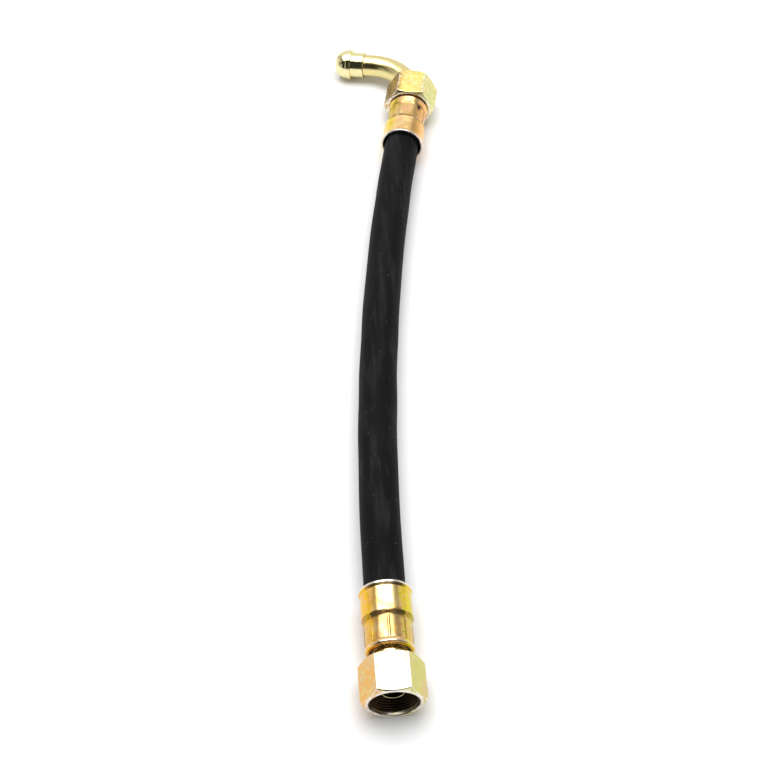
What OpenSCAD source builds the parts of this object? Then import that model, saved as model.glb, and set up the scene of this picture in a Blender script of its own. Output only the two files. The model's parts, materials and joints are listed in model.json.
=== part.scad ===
// Short hydraulic hose assembly: a two-wire rubber hose with a straight swivel fitting on one
// end and a swept elbow fitting on the other, each with a loose hexagon nut over a ball nose.
// Millimetres. +Z is up. The origin is the middle of the straight fitting's nose face, and +Y
// runs from there along the straight fitting towards the hose. Both nuts lie on a flat.

/* [Hose] */
// Length of hose that shows between the two ferrules, along its middle
hose_free_l = 364; // [240:1:600]
// Angle that the hose bends through, to the right when it is seen from the straight end
hose_turn = 12; // [8:0.5:40]
// Inside diameter of the hose
hose_bore_d = 12.7; // [11.6:0.1:13.4]
// Thickness of the smooth rubber liner
liner_t = 1.9; // [1.6:0.1:2.4]
// Thickness of each wire braid
braid_t = 0.7; // [0.5:0.05:0.9]
// Thickness of the rubber between the braids
interlayer_t = 0.3; // [0.2:0.05:0.6]
// Thickness of the outer rubber cover
cover_t = 1.9; // [1.4:0.1:2.4]
// Share of a layer's thickness that is left under the crimp
squeeze = 0.75; // [0.7:0.01:0.85]

/* [Ferrules] */
// Length of a ferrule
ferrule_l = 38; // [34:0.5:50]
// Gap between the hose and the ferrule at its open mouth, all round
mouth_gap = 1.15; // [0.4:0.05:2]
// Wall of the ferrule near its open mouth
mouth_wall = 1.5; // [1.3:0.1:2]
// How far the rim at the open mouth flares out
rim_flare = 0.7; // [0.3:0.1:1]
// Wall of the ferrule under the crimping dies
crimp_wall = 2.5; // [1.8:0.1:3.2]
// Length from the open mouth to the start of the crimp
mouth_zone_l = 15; // [12:0.5:18]
// Number of crimping dies, and so of the ridges between them
die_count = 8; // [6:1:10]
// Width of a ridge between two dies
ridge_w = 2; // [1:0.1:3]
// Height of a ridge over the deepest part of a die mark
ridge_h = 0.5; // [0.2:0.05:0.9]

/* [Inserts] */
// Bore through the barbed tails
tail_bore_d = 9.5; // [8:0.1:10]
// Depth of a barb on a tail, and of a tooth in a ferrule
barb_h = 0.45; // [0.2:0.05:0.7]
// Number of barbs on a tail, and of teeth in a ferrule
barb_count = 5; // [3:1:6]
// Diameter of the sleeves that the nuts ride on
sleeve_d = 18.8; // [18:0.1:20]

/* [Ball noses] */
// Bore through a ball nose
port_d = 11; // [9:0.5:11.6]
// Diameter of the collar that the nut pulls on
collar_d = 22; // [21:0.1:23.5]
// Length of the collar's cylindrical land
collar_l = 2.8; // [2:0.1:4]
// Diameter of the flat face at the tip
tip_d = 14; // [13:0.5:16]
// Depth of the bore in the straight fitting's nose
port_depth = 20; // [12:0.5:24]

/* [Elbow] */
// Outside diameter of the bent tube
tube_d = 16; // [15:0.1:16.4]
// Bore of the bent tube
tube_bore_d = 12; // [11.7:0.1:13]
// Radius of the bend, to the middle of the tube
bend_r = 36; // [32:1:60]
// Angle that the elbow turns through
bend_angle = 86; // [30:1:100]
// Straight tube from the ferrule's end to the bend
leg_in = 13; // [11:0.5:30]
// Straight tube from the bend to the nose
leg_out = 6; // [1:0.5:30]
// Length of the nose's sleeve over the tube
nose_sleeve_l = 9.5; // [7:0.5:20]
// Length of the elbow insert's sleeve over the tube
insert_sleeve_l = 9; // [7:0.5:9.5]

/* [Nuts] */
// Size of a nut across its flats
nut_af = 32; // [31:0.5:38]
// Length of a nut
nut_l = 24.5; // [22:0.5:30]
// Outside diameter of the nut's thread
thread_d = 27; // [26:0.5:28]
// Pitch of the nut's thread
thread_pitch = 1.5; // [1:0.25:2]
// Depth from the nut's mouth to the shoulder inside it
shoulder_depth = 18; // [15:0.1:20]
// Diameter of the circle that the corners are chamfered to at each end
chamfer_d = 30.7; // [29:0.1:30.9]

/* [Fits] */
// Play between a nut's rear bore and the sleeve it rides on, all round
nut_play = 0.35; // [0.2:0.05:0.5]
// Gap between the straight nut's shoulder and the collar it pulls on
shoulder_gap = 0.3; // [0.1:0.05:1]
// Gap between the straight nut and its ferrule
straight_gap = 5.5; // [0.5:0.1:8]
// Gap between the elbow nut and its ferrule
elbow_gap = 1.3; // [0.3:0.1:3]
// Hair gap that keeps bonded, crimped and brazed pieces apart as solids
bond_gap = 0.02; // [0.02:0.01:0.05]

/* [Hidden] */
$fn = 96;
eps = 0.01;

// The hose: its layers' radii where it is free, from the bore outwards, and under the crimp.
layer_t = [liner_t, braid_t, interlayer_t, braid_t, cover_t];
bore_r = hose_bore_d / 2;
function free_r(i) = i == 0 ? bore_r : free_r(i - 1) + layer_t[i - 1];
function crimp_r(i) = i == 0 ? bore_r : crimp_r(i - 1) + squeeze * layer_t[i - 1];
LAYERS = len(layer_t);
hose_r = free_r(LAYERS);
arc_r = hose_free_l * 180 / (PI * hose_turn);
arc_fn = 720;
lap_l = 1;                                 // the arc runs on this far into each ferrule
lap_angle = lap_l * 180 / (PI * arc_r);
lap_start = 0.3;                           // a straight end starts here, within the arc's wall,
lap_inset = 0.08;                          // this far under both its faces,
lap_full = 0.8;                            // and from here it stands out of them
lap_over = bond_gap / 4;                   // by this much

// Every fitting is drawn with its axis on +Z, from its ferrule's open mouth at z = 0 to its
// sealing end. The hose reaches hose_in into it, and the tail reaches back to tail_z.
lip_t = 4;                                 // the ferrule's inner lip, which locks it to the insert
lip_z = ferrule_l - lip_t;
flange_t = 1.5;                            // the insert's flange behind the lip
flange_z = lip_z - bond_gap - flange_t;
hose_in = flange_z - bond_gap;
tail_z = 2;
squeeze_z = 9;                             // where the hose starts to narrow
mouth_r = hose_r + mouth_gap;
barrel_r = mouth_r + mouth_wall;
crimp_in_r = crimp_r(LAYERS) + bond_gap;   // bore of the ferrule under the dies
crimp_out_r = crimp_in_r + crimp_wall;     // the deepest part of a die mark
ridge_r = crimp_out_r + ridge_h;
neck_z = mouth_zone_l + 1;                 // the outside narrows over neck_l from here
neck_l = 5;
band_l = 3;                                // the plain band at the ferrule's end, with its cone
band_cone_l = 1.5;
band_r = ridge_r + 0.35;
end_chamfer = 0.8;
die_z = mouth_zone_l + 2.5;
die_l = ferrule_l - band_l - 0.3 - die_z;
groove_r = 7.5;                            // the insert's groove under the lip
flange_r = 8.2;

// The barbs and the ferrule's teeth share one pitch over the crimped length.
barb_zone_l = hose_in - mouth_zone_l - 1;
barb_pitch = barb_zone_l / barb_count;
tail_r = bore_r - 0.3;
tail_lead_r = bore_r - 0.05;
function barb_z(i) = mouth_zone_l + 0.5 + i * barb_pitch;

// The noses and the nuts.
sleeve_r = sleeve_d / 2;
collar_r = collar_d / 2;
ball_step = 0.4;                           // the small step from the collar's land to the ball
ball_r = collar_r - ball_step;
ball_reach = sqrt(pow(ball_r, 2) - pow(tip_d / 2, 2));
head_l = collar_l + ball_step + ball_reach;
straight_nut_z = ferrule_l + straight_gap; // the nuts' rear faces
elbow_nut_z = ferrule_l + elbow_gap;
nut_bore_r = sleeve_r + nut_play;
collar_z = straight_nut_z + nut_l - shoulder_depth + shoulder_gap;
nose_z = collar_z + head_l;                // the straight nipple's tip
corner_r = nut_af / 2 / cos(30);
chamfer_h = (corner_r - chamfer_d / 2) * tan(30);
thread_r = thread_d / 2;
thread_in_r = thread_r - 0.5413 * thread_pitch;
pocket_r = collar_r + 0.4;                 // the plain seat round the collar
pocket_l = 1.8;
relief_l = 2;                              // the undercut that ends the thread
thread_l = shoulder_depth - pocket_l - relief_l;
countersink_r = thread_r + 0.4;
countersink_l = countersink_r - thread_in_r;
turns = floor((thread_l - countersink_l) / thread_pitch);

// The elbow. It droops sideways just enough for its collar's rim to lie level with the nuts' flats.
socket_l = 7;                              // the tube's length inside each sleeve
tube_r = tube_d / 2;
bend_z = ferrule_l + leg_in;
bend_thin = 0.05;                          // how much the bend's radius is drawn in by bending
bend_lap_angle = 0.8;                      // the bend runs on this far into each straight leg
insert_end_z = ferrule_l + bond_gap + insert_sleeve_l;
tube_start_z = insert_end_z - socket_l;
braze_t = 0.8;                             // the braze's fillet at each sleeve's mouth
nose_sleeve_z = leg_out;                   // from the end of the bend
nose_collar_z = nose_sleeve_z + nose_sleeve_l;
nose_tip_z = nose_collar_z + head_l;
corner_l = bend_r * tan(bend_angle / 2);
rim_reach = (corner_l + nose_collar_z + collar_l) * sin(bend_angle);
rim_r = sqrt(pow(rim_reach, 2) + pow(collar_r, 2));
droop = asin(min(1, nut_af / 2 / rim_r)) - atan2(collar_r, rim_reach);

// Places the straight fitting, which points along -Y with its nose at the origin.
module at_straight_end() {
    translate([0, nose_z, 0]) rotate([90, 0, 0]) children();
}

// Places the elbow fitting at the far end of the hose's arc.
module at_elbow_end() {
    translate([arc_r, nose_z, 0]) rotate([0, 0, -hose_turn]) translate([-arc_r, 0, 0])
        rotate([-90, 0, 0]) children();
}

// Leans what follows the elbow's bend down by the droop, about the fitting's axis.
module drooped() {
    rotate([0, 0, -droop]) children();
}

// Places what stands on the far end of the bend, with its axis on +Z from there.
module at_bend_end() {
    translate([-bend_r, 0, bend_z]) rotate([0, -bend_angle, 0]) translate([bend_r, 0, 0])
        children();
}

// A ring-shaped solid from [radius, z] points of its section.
module turned(points) {
    rotate_extrude() polygon(points);
}

// The free stretch of one edge of a hose layer, from within the arc's wall at radius r to where
// the hose narrows. The side is 1 for an inner edge and -1 for an outer one.
function free_edge(r, side) = [[r + side * lap_inset, lap_start],
    [r - side * lap_over, lap_full], [r - side * lap_over, squeeze_z]];

// One edge of a hose layer inside a ferrule, down to the hose's cut end.
function edge(free, crimped, side) = concat(free_edge(free, side),
    [[crimped, mouth_zone_l], [crimped, hose_in]]);
function reversed(list) = [for (i = [len(list) - 1 : -1 : 0]) list[i]];

// The saw teeth of the tail's barbs, out from radius r, from the lead to the hose's cut end.
function barbs(r) = [for (i = [0 : barb_count - 1]) each [[r, barb_z(i)],
    [r + barb_h, barb_z(i) + 0.7 * barb_pitch], [r, barb_z(i) + 0.75 * barb_pitch]]];

// The teeth of the ferrule, in from radius r.
function teeth(r) = [for (i = [0 : barb_count - 1]) each [[r, barb_z(i) + 0.2 * barb_pitch],
    [r - barb_h, barb_z(i) + 0.5 * barb_pitch], [r, barb_z(i) + 0.8 * barb_pitch]]];

// The liner's bore lies on the tail's lead and barbs.
function liner_bore() = concat(free_edge(bore_r, 1), [[bore_r, mouth_zone_l],
    [tail_r + bond_gap, mouth_zone_l + 0.4]], barbs(tail_r + bond_gap),
    [[tail_r + bond_gap, hose_in]]);

// The cover's outside takes the ferrule's teeth.
function cover_skin() = concat(free_edge(hose_r, -1), [[crimp_r(LAYERS), mouth_zone_l]],
    teeth(crimp_r(LAYERS)), [[crimp_r(LAYERS), hose_in]]);

// One end of hose layer i, inside a ferrule.
module layer_end(i) {
    inner = i == 0 ? liner_bore() : edge(free_r(i), crimp_r(i), 1);
    outer = i == LAYERS - 1 ? cover_skin()
        : edge(free_r(i + 1) - bond_gap, crimp_r(i + 1) - bond_gap, -1);
    turned(concat(inner, reversed(outer)));
}

// Hose layer i: its two straight ends and the arc between the ferrules.
module hose_layer(i) {
    outer_r = free_r(i + 1) - (i == LAYERS - 1 ? 0 : bond_gap);
    at_straight_end() layer_end(i);
    translate([arc_r, nose_z, 0]) rotate([0, 0, 180 - hose_turn - lap_angle])
        rotate_extrude(angle = hose_turn + 2 * lap_angle, $fn = arc_fn)
        translate([arc_r, 0]) difference() {
            circle(r = outer_r, $fn = 96);
            circle(r = free_r(i), $fn = 96);
        }
    at_elbow_end() layer_end(i);
}

module hose_cover() {
    color([0.10, 0.10, 0.105]) hose_layer(4);
}

module outer_braid() {
    color([0.72, 0.66, 0.42]) hose_layer(3);
}

module braid_interlayer() {
    color([0.22, 0.20, 0.19]) hose_layer(2);
}

module inner_braid() {
    color([0.72, 0.66, 0.42]) hose_layer(1);
}

module hose_liner() {
    color([0.14, 0.14, 0.14]) hose_layer(0);
}

// The mark of one crimping die: a shallow hollow with a rounded border towards the mouth.
module die_mark() {
    mark_w = 2 * PI * ridge_r / die_count - ridge_w;
    border_r = 0.65 * mark_w;
    lean = 6;                              // how much flatter the die is than the ferrule
    cut_h = barrel_r - crimp_in_r + 1;
    difference() {
        translate([crimp_in_r, 0, 0]) union() {
            intersection() {
                translate([0, -mark_w / 2, die_z]) cube([cut_h, mark_w, die_l]);
                translate([0, 0, die_z + border_r]) rotate([0, 90, 0])
                    cylinder(r = border_r, h = cut_h);
            }
            translate([0, -mark_w / 2, die_z + border_r])
                cube([cut_h, mark_w, die_l - border_r]);
        }
        translate([-lean, 0, die_z - 1]) cylinder(r = crimp_out_r + lean, h = die_l + 2);
    }
}

// A crimped ferrule: an open mouth with a rolled rim, the die marks, a plain band at its end,
// teeth inside and the lip that locks into the insert's groove.
module ferrule() {
    bead_r = (mouth_wall + rim_flare) / 2;
    rim_l = 4;                             // the rim's length, with the cone down to the barrel
    outer = [[mouth_r + 2 * bead_r, bead_r], [barrel_r, rim_l], [barrel_r, neck_z],
        [ridge_r, neck_z + neck_l], [ridge_r, ferrule_l - band_l],
        [band_r, ferrule_l - band_l + band_cone_l], [band_r, ferrule_l - end_chamfer],
        [band_r - end_chamfer, ferrule_l]];
    inner = concat([[mouth_r, bead_r], [mouth_r, squeeze_z - 2], [crimp_in_r, mouth_zone_l]],
        teeth(crimp_in_r), [[crimp_in_r, lip_z], [groove_r + bond_gap, lip_z],
        [groove_r + bond_gap, ferrule_l]]);
    difference() {
        union() {
            turned(concat(inner, reversed(outer)));
            translate([0, 0, bead_r]) rotate_extrude() translate([mouth_r + bead_r, 0])
                circle(r = bead_r, $fn = 32);
        }
        for (i = [0 : die_count - 1]) rotate([0, 0, 90 + (i + 0.5) * 360 / die_count])
            die_mark();
    }
}

module straight_ferrule() {
    color([0.86, 0.68, 0.28]) at_straight_end() ferrule();
}

module elbow_ferrule() {
    color([0.86, 0.68, 0.28]) at_elbow_end() rotate([0, 0, 180 / die_count]) ferrule();
}

// The outside of an insert, from the end of its tail to the ferrule's end face.
function insert_skin() = concat([[tail_bore_d / 2, tail_z], [tail_lead_r - 0.7, tail_z],
    [tail_lead_r, tail_z + 1.5], [tail_lead_r, mouth_zone_l - 0.4], [tail_r, mouth_zone_l]],
    barbs(tail_r), [[tail_r, flange_z], [flange_r, flange_z], [flange_r, flange_z + flange_t],
    [groove_r, flange_z + flange_t], [groove_r, ferrule_l + bond_gap],
    [sleeve_r, ferrule_l + bond_gap]]);

// A ball nose on a collar, solid, from the collar's back face at z = 0 to the tip.
module ball_head() {
    cylinder(r = collar_r, h = collar_l);
    translate([0, 0, collar_l]) cylinder(r1 = collar_r, r2 = ball_r, h = ball_step);
    intersection() {
        translate([0, 0, collar_l + ball_step]) sphere(r = ball_r);
        cylinder(r = collar_d, h = head_l);
    }
}

module straight_nipple() {
    color([0.88, 0.84, 0.66]) at_straight_end() difference() {
        union() {
            turned(concat(insert_skin(), [[sleeve_r, collar_z], [tail_bore_d / 2, collar_z]]));
            translate([0, 0, collar_z]) ball_head();
        }
        translate([0, 0, tail_z - 1]) cylinder(d = tail_bore_d, h = nose_z);
        translate([0, 0, nose_z - port_depth]) cylinder(d = port_d, h = port_depth + 1);
    }
}

// A swivel nut: chamfered hexagon, countersunk thread cut as rings at its pitch, an undercut,
// the seat round the collar, the shoulder and the rear bore. Its rear face is at z = 0.
module nut() {
    outline = [[0, 0], [chamfer_d / 2, 0], [corner_r, chamfer_h], [corner_r, nut_l - chamfer_h],
        [chamfer_d / 2, nut_l], [0, nut_l]];
    crest = thread_pitch / 4;
    flank = 0.3125 * thread_pitch;
    thread_top = nut_l - countersink_l;
    rings = [for (i = [0 : turns - 1]) each [
        [thread_in_r, thread_top - i * thread_pitch - crest],
        [thread_r, thread_top - i * thread_pitch - crest - flank],
        [thread_r, thread_top - (i + 1) * thread_pitch + flank],
        [thread_in_r, thread_top - (i + 1) * thread_pitch]]];
    shoulder_z = nut_l - shoulder_depth;
    hollow = concat([[0, nut_l + 1], [countersink_r + 1, nut_l + 1], [thread_in_r, thread_top]],
        rings, [[thread_in_r, nut_l - thread_l], [thread_r + 0.1, nut_l - thread_l],
        [thread_r + 0.1, shoulder_z + pocket_l], [pocket_r, shoulder_z + pocket_l],
        [pocket_r, shoulder_z], [nut_bore_r, shoulder_z], [nut_bore_r, -1], [0, -1]]);
    difference() {
        intersection() {
            cylinder(r = corner_r, h = nut_l, $fn = 6);
            turned(outline);
        }
        turned(hollow);
    }
}

module straight_nut() {
    color([0.90, 0.86, 0.60]) at_straight_end() translate([0, 0, straight_nut_z]) nut();
}

module elbow_nut() {
    color([0.88, 0.76, 0.42]) at_elbow_end() translate([0, 0, elbow_nut_z]) nut();
}

// The chamfered mouth of a sleeve, where the braze lies, facing +Z at z = 0.
module braze_groove() {
    translate([0, 0, -braze_t]) cylinder(r1 = tube_r, r2 = tube_r + braze_t + eps,
        h = braze_t + eps);
}

// The ring of braze in a sleeve's mouth, at z = 0.
module braze() {
    turned([[tube_r + bond_gap, -braze_t + 2 * bond_gap], [tube_r + bond_gap, 0.3],
        [tube_r + 0.3, 0], [tube_r + braze_t - 2 * bond_gap, 0]]);
}

module elbow_insert() {
    color([0.88, 0.84, 0.66]) at_elbow_end() difference() {
        turned(concat(insert_skin(), [[sleeve_r, insert_end_z], [tail_bore_d / 2, insert_end_z]]));
        translate([0, 0, tail_z - 1]) cylinder(d = tail_bore_d, h = ferrule_l);
        translate([0, 0, tube_start_z - bond_gap]) cylinder(r = tube_r + bond_gap, h = 20);
        translate([0, 0, insert_end_z]) braze_groove();
    }
}

module insert_braze() {
    color([0.80, 0.66, 0.36]) at_elbow_end() translate([0, 0, insert_end_z]) braze();
}

// A rod of radius r along the elbow's path, from start_z on its first leg to end_l past the bend.
// The bend is a hair thinner and laps into both legs.
module elbow_rod(r, start_z, end_l) {
    translate([0, 0, start_z]) cylinder(r = r, h = bend_z - start_z);
    translate([-bend_r, 0, bend_z]) rotate([90, 0, 0]) rotate([0, 0, -bend_lap_angle])
        rotate_extrude(angle = bend_angle + 2 * bend_lap_angle)
        translate([bend_r, 0]) circle(r = r - bend_thin);
    at_bend_end() cylinder(r = r, h = end_l);
}

module elbow_tube() {
    color([0.88, 0.84, 0.66]) at_elbow_end() drooped() difference() {
        elbow_rod(tube_r, tube_start_z, leg_out + socket_l);
        elbow_rod(tube_bore_d / 2, tube_start_z - 1, leg_out + socket_l + 1);
    }
}

module nose_braze() {
    color([0.80, 0.66, 0.36]) at_elbow_end() drooped() at_bend_end()
        translate([0, 0, nose_sleeve_z]) mirror([0, 0, 1]) braze();
}

module ball_nose() {
    color([0.90, 0.87, 0.70]) at_elbow_end() drooped() at_bend_end() difference() {
        union() {
            translate([0, 0, nose_sleeve_z]) cylinder(r = sleeve_r, h = nose_sleeve_l);
            translate([0, 0, nose_collar_z]) ball_head();
        }
        translate([0, 0, nose_sleeve_z - 1]) cylinder(d = port_d, h = nose_tip_z);
        translate([0, 0, nose_sleeve_z - 1]) cylinder(r = tube_r + bond_gap,
            h = socket_l + 1 + bond_gap);
        translate([0, 0, nose_sleeve_z]) mirror([0, 0, 1]) braze_groove();
    }
}

hose_cover();
outer_braid();
braid_interlayer();
inner_braid();
hose_liner();
straight_ferrule();
straight_nipple();
straight_nut();
elbow_ferrule();
elbow_insert();
insert_braze();
elbow_tube();
nose_braze();
ball_nose();
elbow_nut();
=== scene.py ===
"""Looks of a short hydraulic hose assembly with a straight and an elbow swivel fitting.

Sizes are in millimetres, and a name that ends in _m is in metres. Every fitting is drawn along its
own +Z, from its ferrule's open mouth at z = 0 to its sealing end, and is then put in its place.
"""

from __future__ import annotations

import json
import logging
from collections.abc import Sequence
from dataclasses import dataclass, field, replace
from enum import Enum
from math import acos, cos, hypot, pi, radians, sin, sqrt, tan
from typing import Union

import bpy
import numpy as np
from mathutils import Matrix, Vector

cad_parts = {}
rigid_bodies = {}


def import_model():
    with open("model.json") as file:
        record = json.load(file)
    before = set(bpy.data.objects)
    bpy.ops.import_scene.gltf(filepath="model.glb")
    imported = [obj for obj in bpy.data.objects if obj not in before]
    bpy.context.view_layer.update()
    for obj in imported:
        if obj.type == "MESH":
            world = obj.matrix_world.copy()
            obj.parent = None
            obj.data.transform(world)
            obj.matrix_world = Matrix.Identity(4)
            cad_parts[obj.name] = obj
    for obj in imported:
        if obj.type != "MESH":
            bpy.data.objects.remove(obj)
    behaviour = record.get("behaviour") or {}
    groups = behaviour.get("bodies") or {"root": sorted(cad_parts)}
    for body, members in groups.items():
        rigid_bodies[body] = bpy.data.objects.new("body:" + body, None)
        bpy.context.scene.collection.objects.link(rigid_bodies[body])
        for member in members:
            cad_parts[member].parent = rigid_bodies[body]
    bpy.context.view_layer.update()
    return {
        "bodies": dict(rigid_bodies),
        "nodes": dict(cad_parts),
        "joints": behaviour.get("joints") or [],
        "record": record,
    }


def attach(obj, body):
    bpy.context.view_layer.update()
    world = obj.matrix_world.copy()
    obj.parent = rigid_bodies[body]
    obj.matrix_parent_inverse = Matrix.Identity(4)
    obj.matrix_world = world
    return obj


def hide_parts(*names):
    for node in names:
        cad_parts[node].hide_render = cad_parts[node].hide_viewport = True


LOG = logging.getLogger("hose_assembly")
MM = 0.001
CORNER_SHARE = 0.4  # the most of a side that the rounding of a corner takes
CORNER_RUN = 1.2  # where the points beside a rounded corner stand, in its reaches
FIT_GAP = 0.02  # the hair gap between two pieces that are joined for good
RANGE_LIMITS = slice(1, 5)  # where a Map Range node takes its four limits
MIX_NUMBERS = slice(2, 4)  # where a Mix node takes its two numbers
MIX_COLOURS = slice(6, 8)  # where it takes its two colours
MIXED_COLOUR = 2  # where it gives their mix
Colour = tuple[float, float, float]
Span = tuple[float, float]
Value = Union[bpy.types.NodeSocket, float, tuple[float, ...]]


def srgb(red: int, green: int, blue: int) -> Colour:
    """Turns a display colour from 0 to 255 into the linear colour that a shader takes.

    Args:
        red: Red from 0 to 255.
        green: Green from 0 to 255.
        blue: Blue from 0 to 255.

    Returns:
        The linear colour.
    """
    dark_end, dark_slope, offset, scale, power = 0.04045, 12.92, 0.055, 1.055, 2.4
    return tuple(
        v / dark_slope if v <= dark_end else ((v + offset) / scale) ** power
        for v in (red / 255, green / 255, blue / 255)
    )


# ---------------------------------------------------------------------------------------------
# Shapes
# ---------------------------------------------------------------------------------------------


@dataclass(frozen=True)
class Corner:
    """A corner of an outline, at a radius and a height, with its rounding."""

    r: float
    z: float
    rounding: float = 0.0


def smooth(value: np.ndarray | float, low: float, high: float) -> np.ndarray | float:
    """Rises smoothly from 0 at low to 1 at high."""
    t = np.clip((value - low) / (high - low), 0.0, 1.0)
    return t * t * (3.0 - 2.0 * t)


def soft_min(a: np.ndarray, b: np.ndarray, blend: float) -> np.ndarray:
    """The smaller of two fields, rounded over the width of the blend."""
    h = np.clip(0.5 + 0.5 * (b - a) / blend, 0.0, 1.0)
    return b + (a - b) * h - blend * h * (1.0 - h)


def outline(corners: Sequence[Corner], spacing: float = 2.0, steps: int = 6) -> np.ndarray:
    """Rounds the corners of a closed outline and splits its long sides.

    Args:
        corners: The corners in order.
        spacing: The longest stretch without a point.
        steps: Steps along each rounded corner.

    Returns:
        The (radius, z) points of the closed outline.
    """
    points: list[np.ndarray] = []
    for i, corner in enumerate(corners):
        here = np.array([corner.r, corner.z])
        if corner.rounding <= 0:
            points.append(here)
            continue
        after = corners[(i + 1) % len(corners)]
        sides = [np.array([c.r, c.z]) - here for c in (corners[i - 1], after)]
        lengths = [float(np.hypot(*side)) for side in sides]
        back, ahead = (side / length for side, length in zip(sides, lengths))
        half = 0.5 * acos(float(np.clip(back @ ahead, -1.0, 1.0)))
        reach = min(corner.rounding / tan(half), CORNER_SHARE * min(lengths))
        points.append(here + CORNER_RUN * reach * back)
        for t in np.linspace(0.0, 1.0, steps + 1):
            points.append(here + reach * ((1 - t) ** 2 * back + t**2 * ahead))
        points.append(here + CORNER_RUN * reach * ahead)
    dense: list[np.ndarray] = []
    for a, b in zip(points, points[1:] + points[:1]):
        parts = max(1, int(np.ceil(np.hypot(*(b - a)) / spacing)))
        dense.extend(a + (b - a) * k / parts for k in range(parts))
    return np.array(dense)


def turned(points: np.ndarray, angles: np.ndarray) -> np.ndarray:
    """Turns an outline round the z axis.

    Args:
        points: The (radius, z) points of the outline.
        angles: The angle of each column, in radians from +X towards +Y.

    Returns:
        A grid of points, one row for each point of the outline.
    """
    r, z = points[:, :1], np.repeat(points[:, 1:], len(angles), axis=1)
    return np.stack([r * np.cos(angles), r * np.sin(angles), z], axis=2)


def even_angles(count: int) -> np.ndarray:
    """Angles of equal steps round a circle."""
    return np.arange(count) * 2 * pi / count


@dataclass(frozen=True)
class Place:
    """Where a piece stands, and how the marks on its mesh are scaled.

    Sideways and up are marked in reaches and along in lengths, and up is -1 where the piece's own
    +Y points down.
    """

    matrix: Matrix
    reach: float = 16.0
    length: float = 64.0
    up: float = 1.0

    def then(self, step: Matrix) -> Place:
        """The place that is reached from this one by a further step."""
        return Place(self.matrix @ step, self.reach, self.length, self.up)


def skin(
    name: str,
    grid: np.ndarray,
    place: Place,
    edge: np.ndarray | None = None,
    shade_and_stain: np.ndarray | None = None,
    local: np.ndarray | None = None,
) -> bpy.types.Object:
    """Makes a closed mesh from a grid of points whose rows and columns both run round.

    Args:
        name: The name of the piece.
        grid: The points in millimetres, rows by columns by 3.
        place: Where the piece stands.
        edge: How near each point is to a worn edge, whose bare metal also paints highlights on ferrule
            rims and nut corners, from 0 to 1.
        shade_and_stain: How much each point is darkened by painted shade in bores, grooves and die-mark
            borders, and on the elbow ferrule by a real stain, from 0 to 1.
        local: The points that the marks are taken from, where they aren't the grid's own.

    Returns:
        The object, with a vector mark "fitting" (sideways, up, along), "edge" and "recess".
    """
    rows, columns = grid.shape[:2]
    flat = grid.reshape(-1, 3)
    index = np.arange(rows * columns).reshape(rows, columns)
    right, down = np.roll(index, -1, axis=1), np.roll(index, -1, axis=0)
    quads = np.stack([index, right, np.roll(right, -1, axis=0), down], axis=2).reshape(-1, 4)
    turn = np.array(place.matrix.to_3x3())
    world = flat @ turn.T + np.array(place.matrix.translation)
    a, b, c, d = (world[quads[:, k]] for k in range(4))
    inward = np.einsum("ij,ij->", np.cross(c - a, d - b), a + b + c + d) < 0
    if inward:
        quads = quads[:, ::-1]
    mesh = bpy.data.meshes.new(name)
    mesh.from_pydata((world * MM).tolist(), [], quads.tolist())
    source = flat if local is None else local.reshape(-1, 3)
    upright = np.array([1.0, place.up, 1.0])
    marks = source * upright / np.array([place.reach, place.reach, place.length])
    mesh.attributes.new("fitting", "FLOAT_VECTOR", "POINT").data.foreach_set(
        "vector", marks.astype(np.float32).ravel()
    )
    for mark, values in (("edge", edge), ("shade_and_stain", shade_and_stain)):
        level = np.zeros(len(flat)) if values is None else values.ravel()
        mesh.attributes.new(mark, "FLOAT", "POINT").data.foreach_set("value", level.astype(np.float32))
    mesh.shade_smooth()
    mesh.update()
    piece = bpy.data.objects.new(name, mesh)
    bpy.context.scene.collection.objects.link(piece)
    return piece


# ---------------------------------------------------------------------------------------------
# Shader tools and the effects that several finishes share
# ---------------------------------------------------------------------------------------------


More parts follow.
